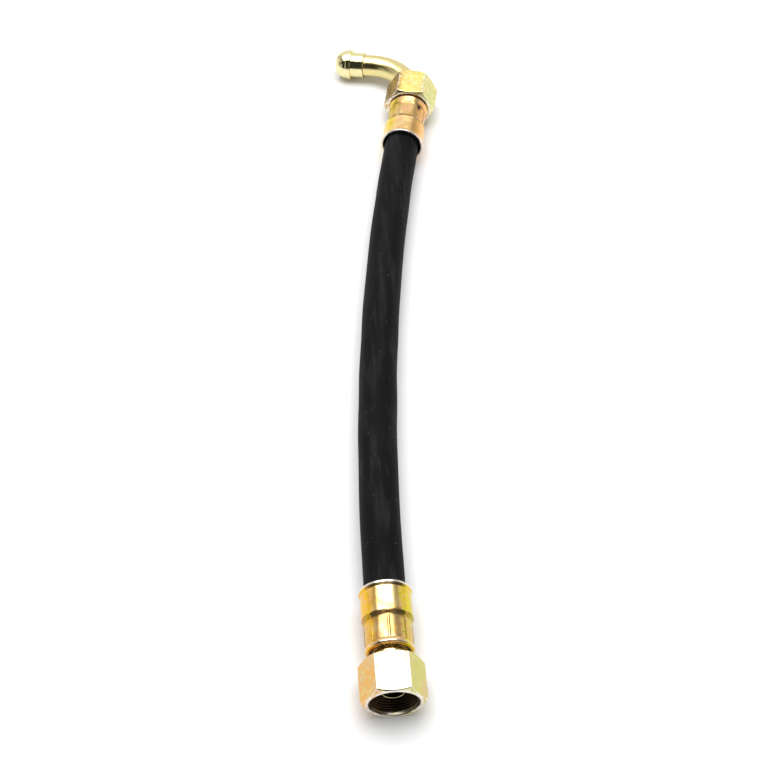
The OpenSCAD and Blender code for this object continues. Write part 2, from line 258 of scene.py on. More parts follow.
class Bench:
    """Makes and joins the nodes of one node tree."""

    def __init__(self, tree: bpy.types.NodeTree) -> None:
        """Keeps the tree to work on."""
        self.tree = tree

    def add(self, kind: str, **settings: object) -> bpy.types.Node:
        """Adds a node and sets its plain settings.

        Args:
            kind: The node's type.
            **settings: The values of its plain settings, by their names.

        Returns:
            The node.
        """
        node = self.tree.nodes.new(kind)
        for key, value in settings.items():
            setattr(node, key, value)
        return node

    def feed(self, socket: bpy.types.NodeSocket, value: Value) -> None:
        """Joins a socket to another one, or sets its value.

        Args:
            socket: The input.
            value: An output socket, a number, or a colour or vector.
        """
        if isinstance(value, bpy.types.NodeSocket):
            self.tree.links.new(value, socket)
        elif isinstance(value, tuple) and socket.type == "RGBA":
            socket.default_value = (*value[:3], 1.0)
        else:
            socket.default_value = value

    def maths(self, operation: str, *values: Value, clamp: bool = False) -> bpy.types.NodeSocket:
        """Works something out with a Math node.

        Args:
            operation: The node's operation.
            *values: Its inputs, as sockets or numbers.
            clamp: Whether the result is kept from 0 to 1.

        Returns:
            The result.
        """
        node = self.add("ShaderNodeMath", operation=operation, use_clamp=clamp)
        for socket, value in zip(node.inputs, values):
            self.feed(socket, value)
        return node.outputs[0]

    def rise(self, value: Value, low: float, high: float) -> bpy.types.NodeSocket:
        """A smooth step from 0 at low to 1 at high, or down where high is below low.

        Args:
            value: What the step is taken of.
            low: Where the step is 0.
            high: Where the step is 1.

        Returns:
            The step.
        """
        node = self.add("ShaderNodeMapRange", interpolation_type="SMOOTHSTEP")
        down = high < low
        ends = (high, low, 1.0, 0.0) if down else (low, high, 0.0, 1.0)
        for socket, number in zip(node.inputs[RANGE_LIMITS], ends):
            socket.default_value = number
        self.feed(node.inputs[0], value)
        return node.outputs[0]

    def window(self, value: Value, rises: Span, falls: Span) -> bpy.types.NodeSocket:
        """A smooth step up and, further on, a smooth step down.

        Args:
            value: What the steps are taken of.
            rises: Where the step up starts and ends.
            falls: Where the step down starts and ends.

        Returns:
            The product of both, which is 1 between them.
        """
        return self.maths("MULTIPLY", self.rise(value, *rises), self.rise(value, falls[1], falls[0]))

    def apart(self, value: Value, middle: float) -> bpy.types.NodeSocket:
        """How far a value is from a middle, on either side."""
        return self.maths("ABSOLUTE", self.maths("SUBTRACT", value, middle))

    def blend(self, share: Value, first: Value, second: Value) -> bpy.types.NodeSocket:
        """A mix of two colours.

        Args:
            share: How much of the second there is, from 0 to 1.
            first: The first colour.
            second: The second colour.

        Returns:
            The mix.
        """
        node = self.add("ShaderNodeMix", data_type="RGBA")
        self.feed(node.inputs[0], share)
        for socket, value in zip(node.inputs[MIX_COLOURS], (first, second)):
            self.feed(socket, value)
        return node.outputs[MIXED_COLOUR]

    def mix(self, share: Value, first: Value, second: Value) -> bpy.types.NodeSocket:
        """A mix of two numbers.

        Args:
            share: How much of the second there is, from 0 to 1.
            first: The first number.
            second: The second number.

        Returns:
            The mix.
        """
        node = self.add("ShaderNodeMix")
        self.feed(node.inputs[0], share)
        for socket, value in zip(node.inputs[MIX_NUMBERS], (first, second)):
            self.feed(socket, value)
        return node.outputs[0]

    def noise(self, vector: Value, scale: Value, detail: float = 3.0) -> bpy.types.NodeSocket:
        """The value of a noise texture.

        Args:
            vector: Where it is looked up.
            scale: How fine it is.
            detail: How many finer layers it has.

        Returns:
            The noise, from about 0 to 1.
        """
        node = self.add("ShaderNodeTexNoise")
        self.feed(node.inputs["Vector"], vector)
        self.feed(node.inputs["Scale"], scale)
        node.inputs["Detail"].default_value = detail
        return node.outputs[0]

    def stretched(self, vector: Value, factors: tuple[float, float, float]) -> bpy.types.NodeSocket:
        """Stretches a vector.

        Args:
            vector: The vector.
            factors: What each of its parts is multiplied by.

        Returns:
            The stretched vector.
        """
        node = self.add("ShaderNodeVectorMath", operation="MULTIPLY")
        self.feed(node.inputs[0], vector)
        node.inputs[1].default_value = factors
        return node.outputs[0]

    def parts(self, vector: Value) -> tuple[bpy.types.NodeSocket, ...]:
        """Takes a vector apart.

        Args:
            vector: The vector.

        Returns:
            Its three parts.
        """
        node = self.add("ShaderNodeSeparateXYZ")
        self.feed(node.inputs[0], vector)
        return tuple(node.outputs)


class Group(Enum):
    """The shared effects, by the name of their node group."""

    FILM = "zinc_film"
    SCRATCHES = "fine_scratches"
    SPECKS = "small_specks"
    WEAR = "edge_wear"
    GRAIN = "rubber_grain"
    BRAID = "wire_braid"


class Socket(Enum):
    """The kinds of socket that a shared effect has."""

    COLOUR = "NodeSocketColor"
    VALUE = "NodeSocketFloat"
    VECTOR = "NodeSocketVector"


@dataclass(frozen=True)
class Port:
    """A named socket of a shared effect, with the value that it starts from."""

    name: str
    kind: Socket
    start: float | None = None


class Effects:
    """Builds each shared effect once, as a node group with named inputs and outputs."""

    def __init__(self) -> None:
        """Builds all the groups."""
        self.trees: dict[Group, bpy.types.NodeTree] = {
            Group.FILM: self.film(),
            Group.SCRATCHES: self.scratches(),
            Group.SPECKS: self.specks(),
            Group.WEAR: self.wear(),
            Group.GRAIN: self.grain(),
            Group.BRAID: self.braid(),
        }

    @staticmethod
    def start(
        group: Group, inputs: Sequence[Port], outputs: Sequence[Port]
    ) -> tuple[Bench, bpy.types.NodeOutputs, bpy.types.NodeInputs]:
        """Makes an empty group with its sockets.

        Args:
            group: Which effect it is.
            inputs: Its input sockets.
            outputs: Its output sockets.

        Returns:
            The bench for its tree, the values that come in and the sockets that go out.
        """
        tree = bpy.data.node_groups.new(group.value, "ShaderNodeTree")
        for ports, way in ((inputs, "INPUT"), (outputs, "OUTPUT")):
            for port in ports:
                socket = tree.interface.new_socket(port.name, in_out=way, socket_type=port.kind.value)
                if port.start is not None:
                    socket.default_value = port.start
        bench = Bench(tree)
        come, go = bench.add("NodeGroupInput"), bench.add("NodeGroupOutput")
        return bench, come.outputs, go.inputs

    def film(self) -> bpy.types.NodeTree:
        """The colours of a passivated zinc film, which drift from side to side and in blotches; the
        side-to-side colours are partly painted light, a paler middle for a highlight and a darker side for
        a shaded reflection.

        Returns:
            The group's tree.
        """
        names = ("Left", "Middle", "Right", "Blotch", "Patch")
        bench, come, go = self.start(
            Group.FILM,
            [Port("Vector", Socket.VECTOR), Port("Sideways", Socket.VALUE, 0.0),
             *(Port(name, Socket.COLOUR) for name in names),
             Port("Drift", Socket.VALUE, 0.5), Port("Blotch Scale", Socket.VALUE, 260.0),
             Port("Blotch Amount", Socket.VALUE, 0.5), Port("Patch Amount", Socket.VALUE, 0.5)],
            [Port("Color", Socket.COLOUR), Port("Mask", Socket.VALUE)],
        )
        drift_scale, patch_scale = 110.0, 95.0
        side_from, side_to = 0.26, 0.64
        blotch_ends, patch_ends = (0.47, 0.64), (0.46, 0.60)
        spot = come["Vector"]
        wander = bench.maths("SUBTRACT", bench.noise(spot, drift_scale, 2.0), 0.5)
        across = bench.maths("MULTIPLY_ADD", wander, come["Drift"], come["Sideways"])
        left = bench.blend(bench.rise(across, -side_to, -side_from), come["Left"], come["Middle"])
        whole = bench.blend(bench.rise(across, side_from, side_to), left, come["Right"])
        blotches = bench.rise(bench.noise(spot, come["Blotch Scale"], 4.0), *blotch_ends)
        mask = bench.maths("MULTIPLY", blotches, come["Blotch Amount"])
        patches = bench.rise(bench.noise(spot, patch_scale, 3.0), *patch_ends)
        share = bench.maths("MULTIPLY", patches, come["Patch Amount"])
        patched = bench.blend(share, whole, come["Patch"])
        bench.feed(go["Color"], bench.blend(mask, patched, come["Blotch"]))
        bench.feed(go["Mask"], mask)
        return bench.tree

    def scratches(self) -> bpy.types.NodeTree:
        """Hairlines and a slight unevenness of a plated, handled metal surface.

        Returns:
            The group's tree.
        """
        bench, come, go = self.start(
            Group.SCRATCHES,
            [Port("Vector", Socket.VECTOR), Port("Length Scale", Socket.VALUE, 90.0),
             Port("Amount", Socket.VALUE, 0.5)],
            [Port("Height", Socket.VALUE), Port("Mask", Socket.VALUE)],
        )
        ways = ((1.0, 16.0, 3.0), (14.0, 2.0, 5.0))
        line_ends, patch_ends = (0.60, 0.66), (0.42, 0.60)
        patch_scale, uneven_scale, uneven_share = 70.0, 330.0, 0.35
        spot = come["Vector"]
        lines = [
            bench.rise(bench.noise(bench.stretched(spot, way), come["Length Scale"], 5.0), *line_ends)
            for way in ways
        ]
        patches = bench.rise(bench.noise(spot, patch_scale, 1.0), *patch_ends)
        grouped = bench.maths("MULTIPLY", bench.maths("MAXIMUM", *lines), patches)
        mask = bench.maths("MULTIPLY", grouped, come["Amount"])
        uneven = bench.maths("MULTIPLY", bench.noise(spot, uneven_scale, 2.0), uneven_share)
        bench.feed(go["Height"], bench.maths("SUBTRACT", uneven, mask))
        bench.feed(go["Mask"], mask)
        return bench.tree

    def specks(self) -> bpy.types.NodeTree:
        """Small spots, such as dust on rubber or pits in plating.

        Returns:
            The group's tree.
        """
        bench, come, go = self.start(
            Group.SPECKS,
            [Port("Vector", Socket.VECTOR), Port("Scale", Socket.VALUE, 500.0),
             Port("Size", Socket.VALUE, 0.2), Port("Share", Socket.VALUE, 0.2)],
            [Port("Mask", Socket.VALUE)],
        )
        cells = bench.add("ShaderNodeTexVoronoi")
        bench.feed(cells.inputs["Vector"], come["Vector"])
        bench.feed(cells.inputs["Scale"], come["Scale"])
        near = bench.maths("LESS_THAN", cells.outputs["Distance"], come["Size"])
        pick = bench.add("ShaderNodeSeparateColor")
        bench.feed(pick.inputs[0], cells.outputs["Color"])
        chosen = bench.maths("LESS_THAN", pick.outputs[0], come["Share"])
        bench.feed(go["Mask"], bench.maths("MULTIPLY", near, chosen))
        return bench.tree

    def wear(self) -> bpy.types.NodeTree:
        """Bright, rubbed metal along edges, broken up by knocks; on the ferrule rims and the nut corners
        it also paints highlights.

        Returns:
            The group's tree.
        """
        bench, come, go = self.start(
            Group.WEAR,
            [Port("Vector", Socket.VECTOR), Port("Edge", Socket.VALUE, 0.0),
             Port("Amount", Socket.VALUE, 0.6)],
            [Port("Mask", Socket.VALUE)],
        )
        chip_scale, chip_share = 520.0, 0.32
        chip_ends, worn_ends = (0.36, 0.62), (0.56, 0.94)
        chips = bench.rise(bench.noise(come["Vector"], chip_scale, 4.0), *chip_ends)
        worn = bench.rise(bench.maths("MULTIPLY_ADD", chips, chip_share, come["Edge"]), *worn_ends)
        bench.feed(go["Mask"], bench.maths("MULTIPLY", worn, come["Amount"], clamp=True))
        return bench.tree

    def grain(self) -> bpy.types.NodeTree:
        """The wrapped, slightly scuffed skin of a rubber cover.

        Returns:
            The group's tree.
        """
        bench, come, go = self.start(
            Group.GRAIN,
            [Port("Vector", Socket.VECTOR), Port("Fineness", Socket.VALUE, 900.0)],
            [Port("Height", Socket.VALUE), Port("Scuff", Socket.VALUE), Port("Crease", Socket.VALUE)],
        )
        crease_way, crease_scale, crease_ends = (1.0, 0.06, 1.0), 420.0, (0.54, 0.66)
        scuff_way, scuff_scale, scuff_ends = (1.0, 0.14, 1.0), 150.0, (0.46, 0.70)
        wave_scale, wave_ends = 45.0, (0.45, 0.7)
        fine_h, crease_h, wave_h = 0.25, 0.5, 0.9
        spot = come["Vector"]
        fine = bench.noise(spot, come["Fineness"], 4.0)
        along = bench.noise(bench.stretched(spot, crease_way), crease_scale, 3.0)
        wave = bench.noise(spot, wave_scale, 2.0)
        streak = bench.noise(bench.stretched(spot, scuff_way), scuff_scale, 3.0)
        crease = bench.rise(along, *crease_ends)
        height = bench.maths("MULTIPLY_ADD", fine, fine_h, bench.maths("MULTIPLY", along, crease_h))
        bench.feed(go["Height"], bench.maths("MULTIPLY_ADD", wave, wave_h, height))
        bench.feed(go["Scuff"], bench.rise(streak, *scuff_ends))
        bench.feed(go["Crease"], bench.maths("MULTIPLY", crease, bench.rise(wave, *wave_ends)))
        return bench.tree

    def braid(self) -> bpy.types.NodeTree:
        """Crossing bundles of wire round the bent hose.

        Returns:
            The group's tree.
        """
        bench, come, go = self.start(
            Group.BRAID,
            [Port("Vector", Socket.VECTOR), Port("Centre X", Socket.VALUE, 1.7),
             Port("Centre Y", Socket.VALUE, 0.06), Port("Bundles", Socket.VALUE, 18.0),
             Port("Steepness", Socket.VALUE, 230.0)],
            [Port("Height", Socket.VALUE), Port("Over", Socket.VALUE)],
        )
        wires_each = 5.0
        x, y, z = bench.parts(come["Vector"])
        east = bench.maths("SUBTRACT", come["Centre X"], x)
        north = bench.maths("SUBTRACT", y, come["Centre Y"])
        squares = [bench.maths("POWER", part, 2.0) for part in (east, north)]
        reach = bench.maths("SQRT", bench.maths("ADD", *squares))
        side = bench.maths("SUBTRACT", come["Centre X"], reach)
        along = bench.maths("MULTIPLY", bench.maths("ARCTAN2", north, east), come["Centre X"])
        turns = bench.maths("MULTIPLY", bench.maths("ARCTAN2", z, side), come["Bundles"])
        climb = bench.maths("MULTIPLY", along, come["Steepness"])
        ways = [bench.maths(step, turns, climb) for step in ("ADD", "SUBTRACT")]
        over = bench.maths("GREATER_THAN", *(bench.maths("SINE", way) for way in ways))
        under_wires, over_wires = (
            bench.maths("SINE", bench.maths("MULTIPLY", way, wires_each)) for way in reversed(ways)
        )
        wires = bench.mix(over, under_wires, over_wires)
        bench.feed(go["Height"], bench.maths("MULTIPLY_ADD", wires, 0.5, 0.5))
        bench.feed(go["Over"], over)
        return bench.tree

    def use(self, bench: Bench, group: Group, **inputs: Value) -> bpy.types.NodeOutputs:
        """Places a shared effect in a material.

        Args:
            bench: The bench of the material's tree.
            group: Which effect to place.
            **inputs: The values of its inputs, with _ for each space of a socket's name.

        Returns:
            The effect's outputs.
        """
        node = bench.add("ShaderNodeGroup", node_tree=self.trees[group])
        for key, value in inputs.items():
            bench.feed(node.inputs[key.replace("_", " ").title()], value)
        return node.outputs


# ---------------------------------------------------------------------------------------------
# Finishes
# ---------------------------------------------------------------------------------------------


@dataclass(frozen=True)
class Finish:
    """What every finish has: a name and the record's slot that it stands for."""

    name: str
    slot: str

    def begin(self) -> tuple[bpy.types.Material, Bench, bpy.types.Node]:
        """Starts a node material.

        Returns:
            The material, its bench and its Principled BSDF.
        """
        material = bpy.data.materials.new(self.name)
        material.use_nodes = True
        bench = Bench(material.node_tree)
        return material, bench, material.node_tree.nodes["Principled BSDF"]

    def material(self, effects: Effects) -> bpy.types.Material:
        """Makes the material; each finish has its own."""
        raise NotImplementedError

    @staticmethod
    def relief(
        bench: Bench, shader: bpy.types.Node, height: Value, depth_m: float, strength: float
    ) -> None:
        """Raises a surface by a height.

        Args:
            bench: The bench of the material's tree.
            shader: The Principled BSDF.
            height: The height's socket.
            depth_m: What a height of 1 stands for, in metres.
            strength: How much of the relief is seen.
        """
        bump = bench.add("ShaderNodeBump")
        bump.inputs["Strength"].default_value = strength
        bump.inputs["Distance"].default_value = depth_m
        bench.feed(bump.inputs["Height"], height)
        bench.feed(shader.inputs["Normal"], bump.outputs[0])


@dataclass(frozen=True)
class ZincFinish(Finish):
    """Yellow passivated zinc on steel, with the drift of its film, wear, pits and hairlines, painted shade
    in bores, grooves and die-mark borders, and painted highlights on worn rims and corners.
    """

    left: Colour = srgb(226, 176, 72)
    middle: Colour = srgb(232, 186, 120)
    right: Colour = srgb(214, 200, 90)
    blotch: Colour = srgb(226, 190, 170)
    patch: Colour = srgb(222, 160, 110)
    bare_and_highlight: Colour = srgb(240, 234, 232)
    # painted shade colour, which also colours the elbow ferrule's real stain
    shade_and_stain_colour: Colour = srgb(44, 29, 20)
    drift: float = 0.6
    blotch_scale: float = 260.0
    blotch_amount: float = 0.5
    patch_amount: float = 0.5
    gloss: float = 0.12
    dull: float = 0.26
    wear: float = 0.6
    pits: float = 0.06
    pit_scale: float = 520.0
    pit_size: float = 0.22
    pit_depth: float = 0.8
    pit_colour: Colour = srgb(70, 55, 30)
    relief_m: float = 0.00003
    hairlines: float = 0.4
    dull_scale: float = 190.0
    dull_ends: Span = (0.3, 0.7)
    shade_and_stain_dullness: float = 0.4

    def material(self, effects: Effects) -> bpy.types.Material:
        """Makes the zinc material.

        Args:
            effects: The shared effects.

        Returns:
            The material.
        """
        made, bench, shader = self.begin()
        spot = bench.add("ShaderNodeTexCoord").outputs["Object"]
        marks = bench.add("ShaderNodeAttribute", attribute_name="fitting").outputs["Vector"]
        edge = bench.add("ShaderNodeAttribute", attribute_name="edge").outputs["Fac"]
        shade_and_stain = bench.add("ShaderNodeAttribute", attribute_name="shade_and_stain").outputs["Fac"]
        film = effects.use(
            bench, Group.FILM, vector=spot, sideways=bench.parts(marks)[0], left=self.left,
            middle=self.middle, right=self.right, blotch=self.blotch, patch=self.patch,
            drift=self.drift, blotch_scale=self.blotch_scale, blotch_amount=self.blotch_amount,
            patch_amount=self.patch_amount,
        )
        hair = effects.use(bench, Group.SCRATCHES, vector=spot, amount=self.hairlines)
        worn = effects.use(bench, Group.WEAR, vector=spot, edge=edge, amount=self.wear)["Mask"]
        pits = effects.use(
            bench, Group.SPECKS, vector=spot, scale=self.pit_scale, size=self.pit_size, share=self.pits
        )
        # worn edges turn bare; on the ferrule rims and the nut corners this bare colour is partly a
        # painted highlight
        colour = bench.blend(worn, film["Color"], self.bare_and_highlight)
        pitted = bench.maths("MULTIPLY", pits["Mask"], self.pit_depth)
        colour = bench.blend(pitted, colour, self.pit_colour)
        # painted shade: the base colour darkens towards the shade colour by the mesh's shade mask, which
        # also holds one real stain
        bench.feed(shader.inputs["Base Color"], bench.blend(shade_and_stain, colour, self.shade_and_stain_colour))
        shader.inputs["Metallic"].default_value = 1.0
        uneven = bench.noise(spot, self.dull_scale, 4.0)
        rough = bench.add("ShaderNodeMapRange")
        bench.feed(rough.inputs[0], bench.maths("MULTIPLY_ADD", shade_and_stain, self.shade_and_stain_dullness, uneven))
        limits = (*self.dull_ends, self.gloss, self.dull)
        for socket, number in zip(rough.inputs[RANGE_LIMITS], limits):
            socket.default_value = number
        bench.feed(shader.inputs["Roughness"], rough.outputs[0])
        self.relief(bench, shader, hair["Height"], self.relief_m, 1.0)
        return made


@dataclass(frozen=True)
class RubberFinish(Finish):
    """Black rubber with a wrapped skin, faint creases and dust."""

    base: Colour = srgb(12, 11, 12)
    scuffed: Colour = srgb(34, 33, 35)
    dusty: Colour = srgb(150, 148, 142)
    creased: Colour = srgb(44, 43, 42)
    crease_amount: float = 0.5
    dust_share: float = 0.05
    dust_scale: float = 760.0
    dust_size: float = 0.12
    dullness: float = 0.62
    scuff_dullness: float = 0.14
    sheen: float = 0.08
    relief_m: float = 0.0002
    relief_strength: float = 0.5

    def material(self, effects: Effects) -> bpy.types.Material:
        """Makes the rubber material.

        Args:
            effects: The shared effects.

        Returns:
            The material.
        """
        made, bench, shader = self.begin()
        spot = bench.add("ShaderNodeTexCoord").outputs["Object"]
        grain = effects.use(bench, Group.GRAIN, vector=spot)
        dust = effects.use(
            bench, Group.SPECKS, vector=spot, scale=self.dust_scale, size=self.dust_size,
            share=self.dust_share,
        )
        colour = bench.blend(grain["Scuff"], self.base, self.scuffed)
        creases = bench.maths("MULTIPLY", grain["Crease"], self.crease_amount)
        colour = bench.blend(creases, colour, self.creased)
        bench.feed(shader.inputs["Base Color"], bench.blend(dust["Mask"], colour, self.dusty))
        rough = bench.maths("MULTIPLY_ADD", grain["Scuff"], self.scuff_dullness, self.dullness)
        bench.feed(shader.inputs["Roughness"], rough)
        shader.inputs["Specular IOR Level"].default_value = self.sheen
        self.relief(bench, shader, grain["Height"], self.relief_m, self.relief_strength)
        return made


@dataclass(frozen=True)
class BraidFinish(Finish):
    """Brassed steel wire, braided in crossing bundles round the hose, with painted shade in the grooves
    between the wires.
    """

    wire: Colour = srgb(205, 178, 112)
    wire_gap_shade: Colour = srgb(120, 96, 50)
    centre_x_m: float = 1.738
    centre_y_m: float = 0.0615
    bundles: float = 18.0
    gloss: float = 0.28
    over_dullness: float = 0.12
    relief_m: float = 0.0002
    relief_strength: float = 0.8

    def material(self, effects: Effects) -> bpy.types.Material:
        """Makes the braid material.

        Args:
            effects: The shared effects.

        Returns:
            The material.
        """
        made, bench, shader = self.begin()
        spot = bench.add("ShaderNodeTexCoord").outputs["Object"]
        braid = effects.use(
            bench, Group.BRAID, vector=spot, centre_x=self.centre_x_m, centre_y=self.centre_y_m,
            bundles=self.bundles,
        )
        # painted shade: the colour darkens in the grooves between the wires
        bench.feed(shader.inputs["Base Color"], bench.blend(braid["Height"], self.wire_gap_shade, self.wire))
        rough = bench.maths("MULTIPLY_ADD", braid["Over"], self.over_dullness, self.gloss)
        bench.feed(shader.inputs["Roughness"], rough)
        shader.inputs["Metallic"].default_value = 1.0
        self.relief(bench, shader, braid["Height"], self.relief_m, self.relief_strength)
        return made


# ---------------------------------------------------------------------------------------------
# The assembly
# ---------------------------------------------------------------------------------------------


@dataclass(frozen=True)
class Layout:
    """The driving sizes of the whole assembly and the places of its two fittings."""

    free_l: float = 364.0
    turn: float = 12.0
    hose_r: float = 11.85
    cover_in_r: float = 9.95
    ferrule_l: float = 38.0
    nose_z: float = 61.4599
    straight_gap: float = 5.5
    elbow_gap: float = 1.3

    @property
    def arc_r(self) -> float:
        """Radius of the hose's bend."""
        return self.free_l / radians(self.turn)

    @property
    def straight(self) -> Place:
        """The straight fitting's place, which points along -Y with its nose at the origin."""
        return Place(Matrix.Translation((0, self.nose_z, 0)) @ Matrix.Rotation(radians(90), 4, "X"))

    @property
    def elbow(self) -> Place:
        """The elbow fitting's place, at the far end of the hose's arc.

        Returns:
            The place, whose own +Y points down.
        """
        out = Matrix.Translation((self.arc_r, self.nose_z, 0))
        swing = Matrix.Rotation(radians(-self.turn), 4, "Z") @ Matrix.Translation((-self.arc_r, 0, 0))
        return Place(out @ swing @ Matrix.Rotation(radians(-90), 4, "X"), up=-1.0)


class Stuff(Enum):
    """What the layers of the hose are made of."""

    COVER = "cover"
    INNER = "inner"
    BRAID = "braid"


@dataclass
class Hose:
    """The hose: its rubber cover as a long bent sleeve, and the layers inside it."""

    layout: Layout
    end_in: float = 14.0
    ring_step: float = 1.4
    columns: int = 72
    squeeze: float = 0.4
    squeeze_ends: Span = (9.0, 15.0)
    waver: float = 0.16
    wave_count: int = 9
    wave_lengths: Span = (28.0, 120.0)
    lobe_choices: int = 4
    calm_ends: Span = (2.0, 25.0)
    seed: int = 7
    path_step: int = 4
    marks_reach: float = 12.0
    marks_length: float = 400.0
    inner_layers: dict[str, Stuff] = field(default_factory=lambda: {
        "outer_braid": Stuff.BRAID, "inner_braid": Stuff.BRAID,
        "braid_interlayer": Stuff.INNER, "hose_liner": Stuff.INNER,
    })

    def line(self, along: np.ndarray) -> tuple[np.ndarray, np.ndarray]:
        """Follows the hose's middle line.

        Args:
            along: Distances from the straight ferrule's mouth, below 0 inside it.

        Returns:
            The points of the line, and the heading at each.
        """
        lay = self.layout
        free = np.clip(along, 0.0, lay.free_l)
        past = along - free
        angle = free / lay.arc_r
        heading = np.stack([np.sin(angle), np.cos(angle), 0 * angle], axis=1)
        bend = np.stack(
            [lay.arc_r * (1 - np.cos(angle)), lay.nose_z + lay.arc_r * np.sin(angle), 0 * angle], axis=1
        )
        return bend + past[:, None] * heading, heading

    def waves(self, along: np.ndarray, angles: np.ndarray) -> np.ndarray:
        """Draws the slight unevenness of the cover's outside, none of it near the ferrules.

        Args:
            along: The distance of each ring from the straight ferrule's mouth.
            angles: The angle of each column.

        Returns:
            The height of each point of the grid.
        """
        rng = np.random.default_rng(self.seed)
        height = np.zeros((len(along), len(angles)))
        for _ in range(self.wave_count):
            length, lobes = rng.uniform(*self.wave_lengths), rng.integers(0, self.lobe_choices)
            phase, tilt = rng.uniform(0, 2 * pi, 2)
            height += np.sin(along[:, None] * 2 * pi / length + phase) * np.cos(lobes * angles + tilt)
        calm = smooth(along, *self.calm_ends) * smooth(self.layout.free_l - along, *self.calm_ends)
        return self.waver * height / sqrt(self.wave_count) * calm[:, None]

    def build(self) -> bpy.types.Object:
        """Returns:
            The cover.
        """
        lay = self.layout
        total = lay.free_l + 2 * self.end_in
        along = np.linspace(-self.end_in, lay.free_l + self.end_in, int(total / self.ring_step) + 1)
        angles = even_angles(self.columns)
        middle, heading = self.line(along)
        side = np.stack([heading[:, 1], -heading[:, 0], 0 * heading[:, 0]], axis=1)
        up = np.array([0.0, 0.0, 1.0])
        around = np.cos(angles)[:, None] * side[:, None, :] + np.sin(angles)[:, None] * up
        pressed = smooth(-along, *self.squeeze_ends) + smooth(along - lay.free_l, *self.squeeze_ends)
        reach = lay.hose_r - self.squeeze * pressed[:, None] + self.waves(along, angles)
        outside = middle[:, None, :] + reach[..., None] * around
        inside = middle[:, None, :] + (lay.cover_in_r + FIT_GAP) * around
        grid = np.concatenate([outside, inside[::-1]])
        place = Place(Matrix.Identity(4), self.marks_reach, self.marks_length)
        cover = skin("hose_cover_skin", grid, place)
        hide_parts("hose_cover")
        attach(cover, "root")
        return cover

    def dress(
        self, cover: bpy.types.Object, frame: dict, finishes: dict[Stuff, bpy.types.Material]
    ) -> None:
        """Puts the rubber on the cover, and wire and rubber on the layers inside.

        Args:
            cover: The cover.
            finishes: The materials.
        """
        cover.data.materials.append(finishes[Stuff.COVER])
        LOG.info("%s: %d faces, %s", cover.name, len(cover.data.polygons), finishes[Stuff.COVER].name)
        for node, stuff in self.inner_layers.items():
            layer = frame["nodes"][node]
            layer.data.materials.clear()
            layer.data.materials.append(finishes[stuff])
            LOG.info("%s: kept, %s", node, finishes[stuff].name)


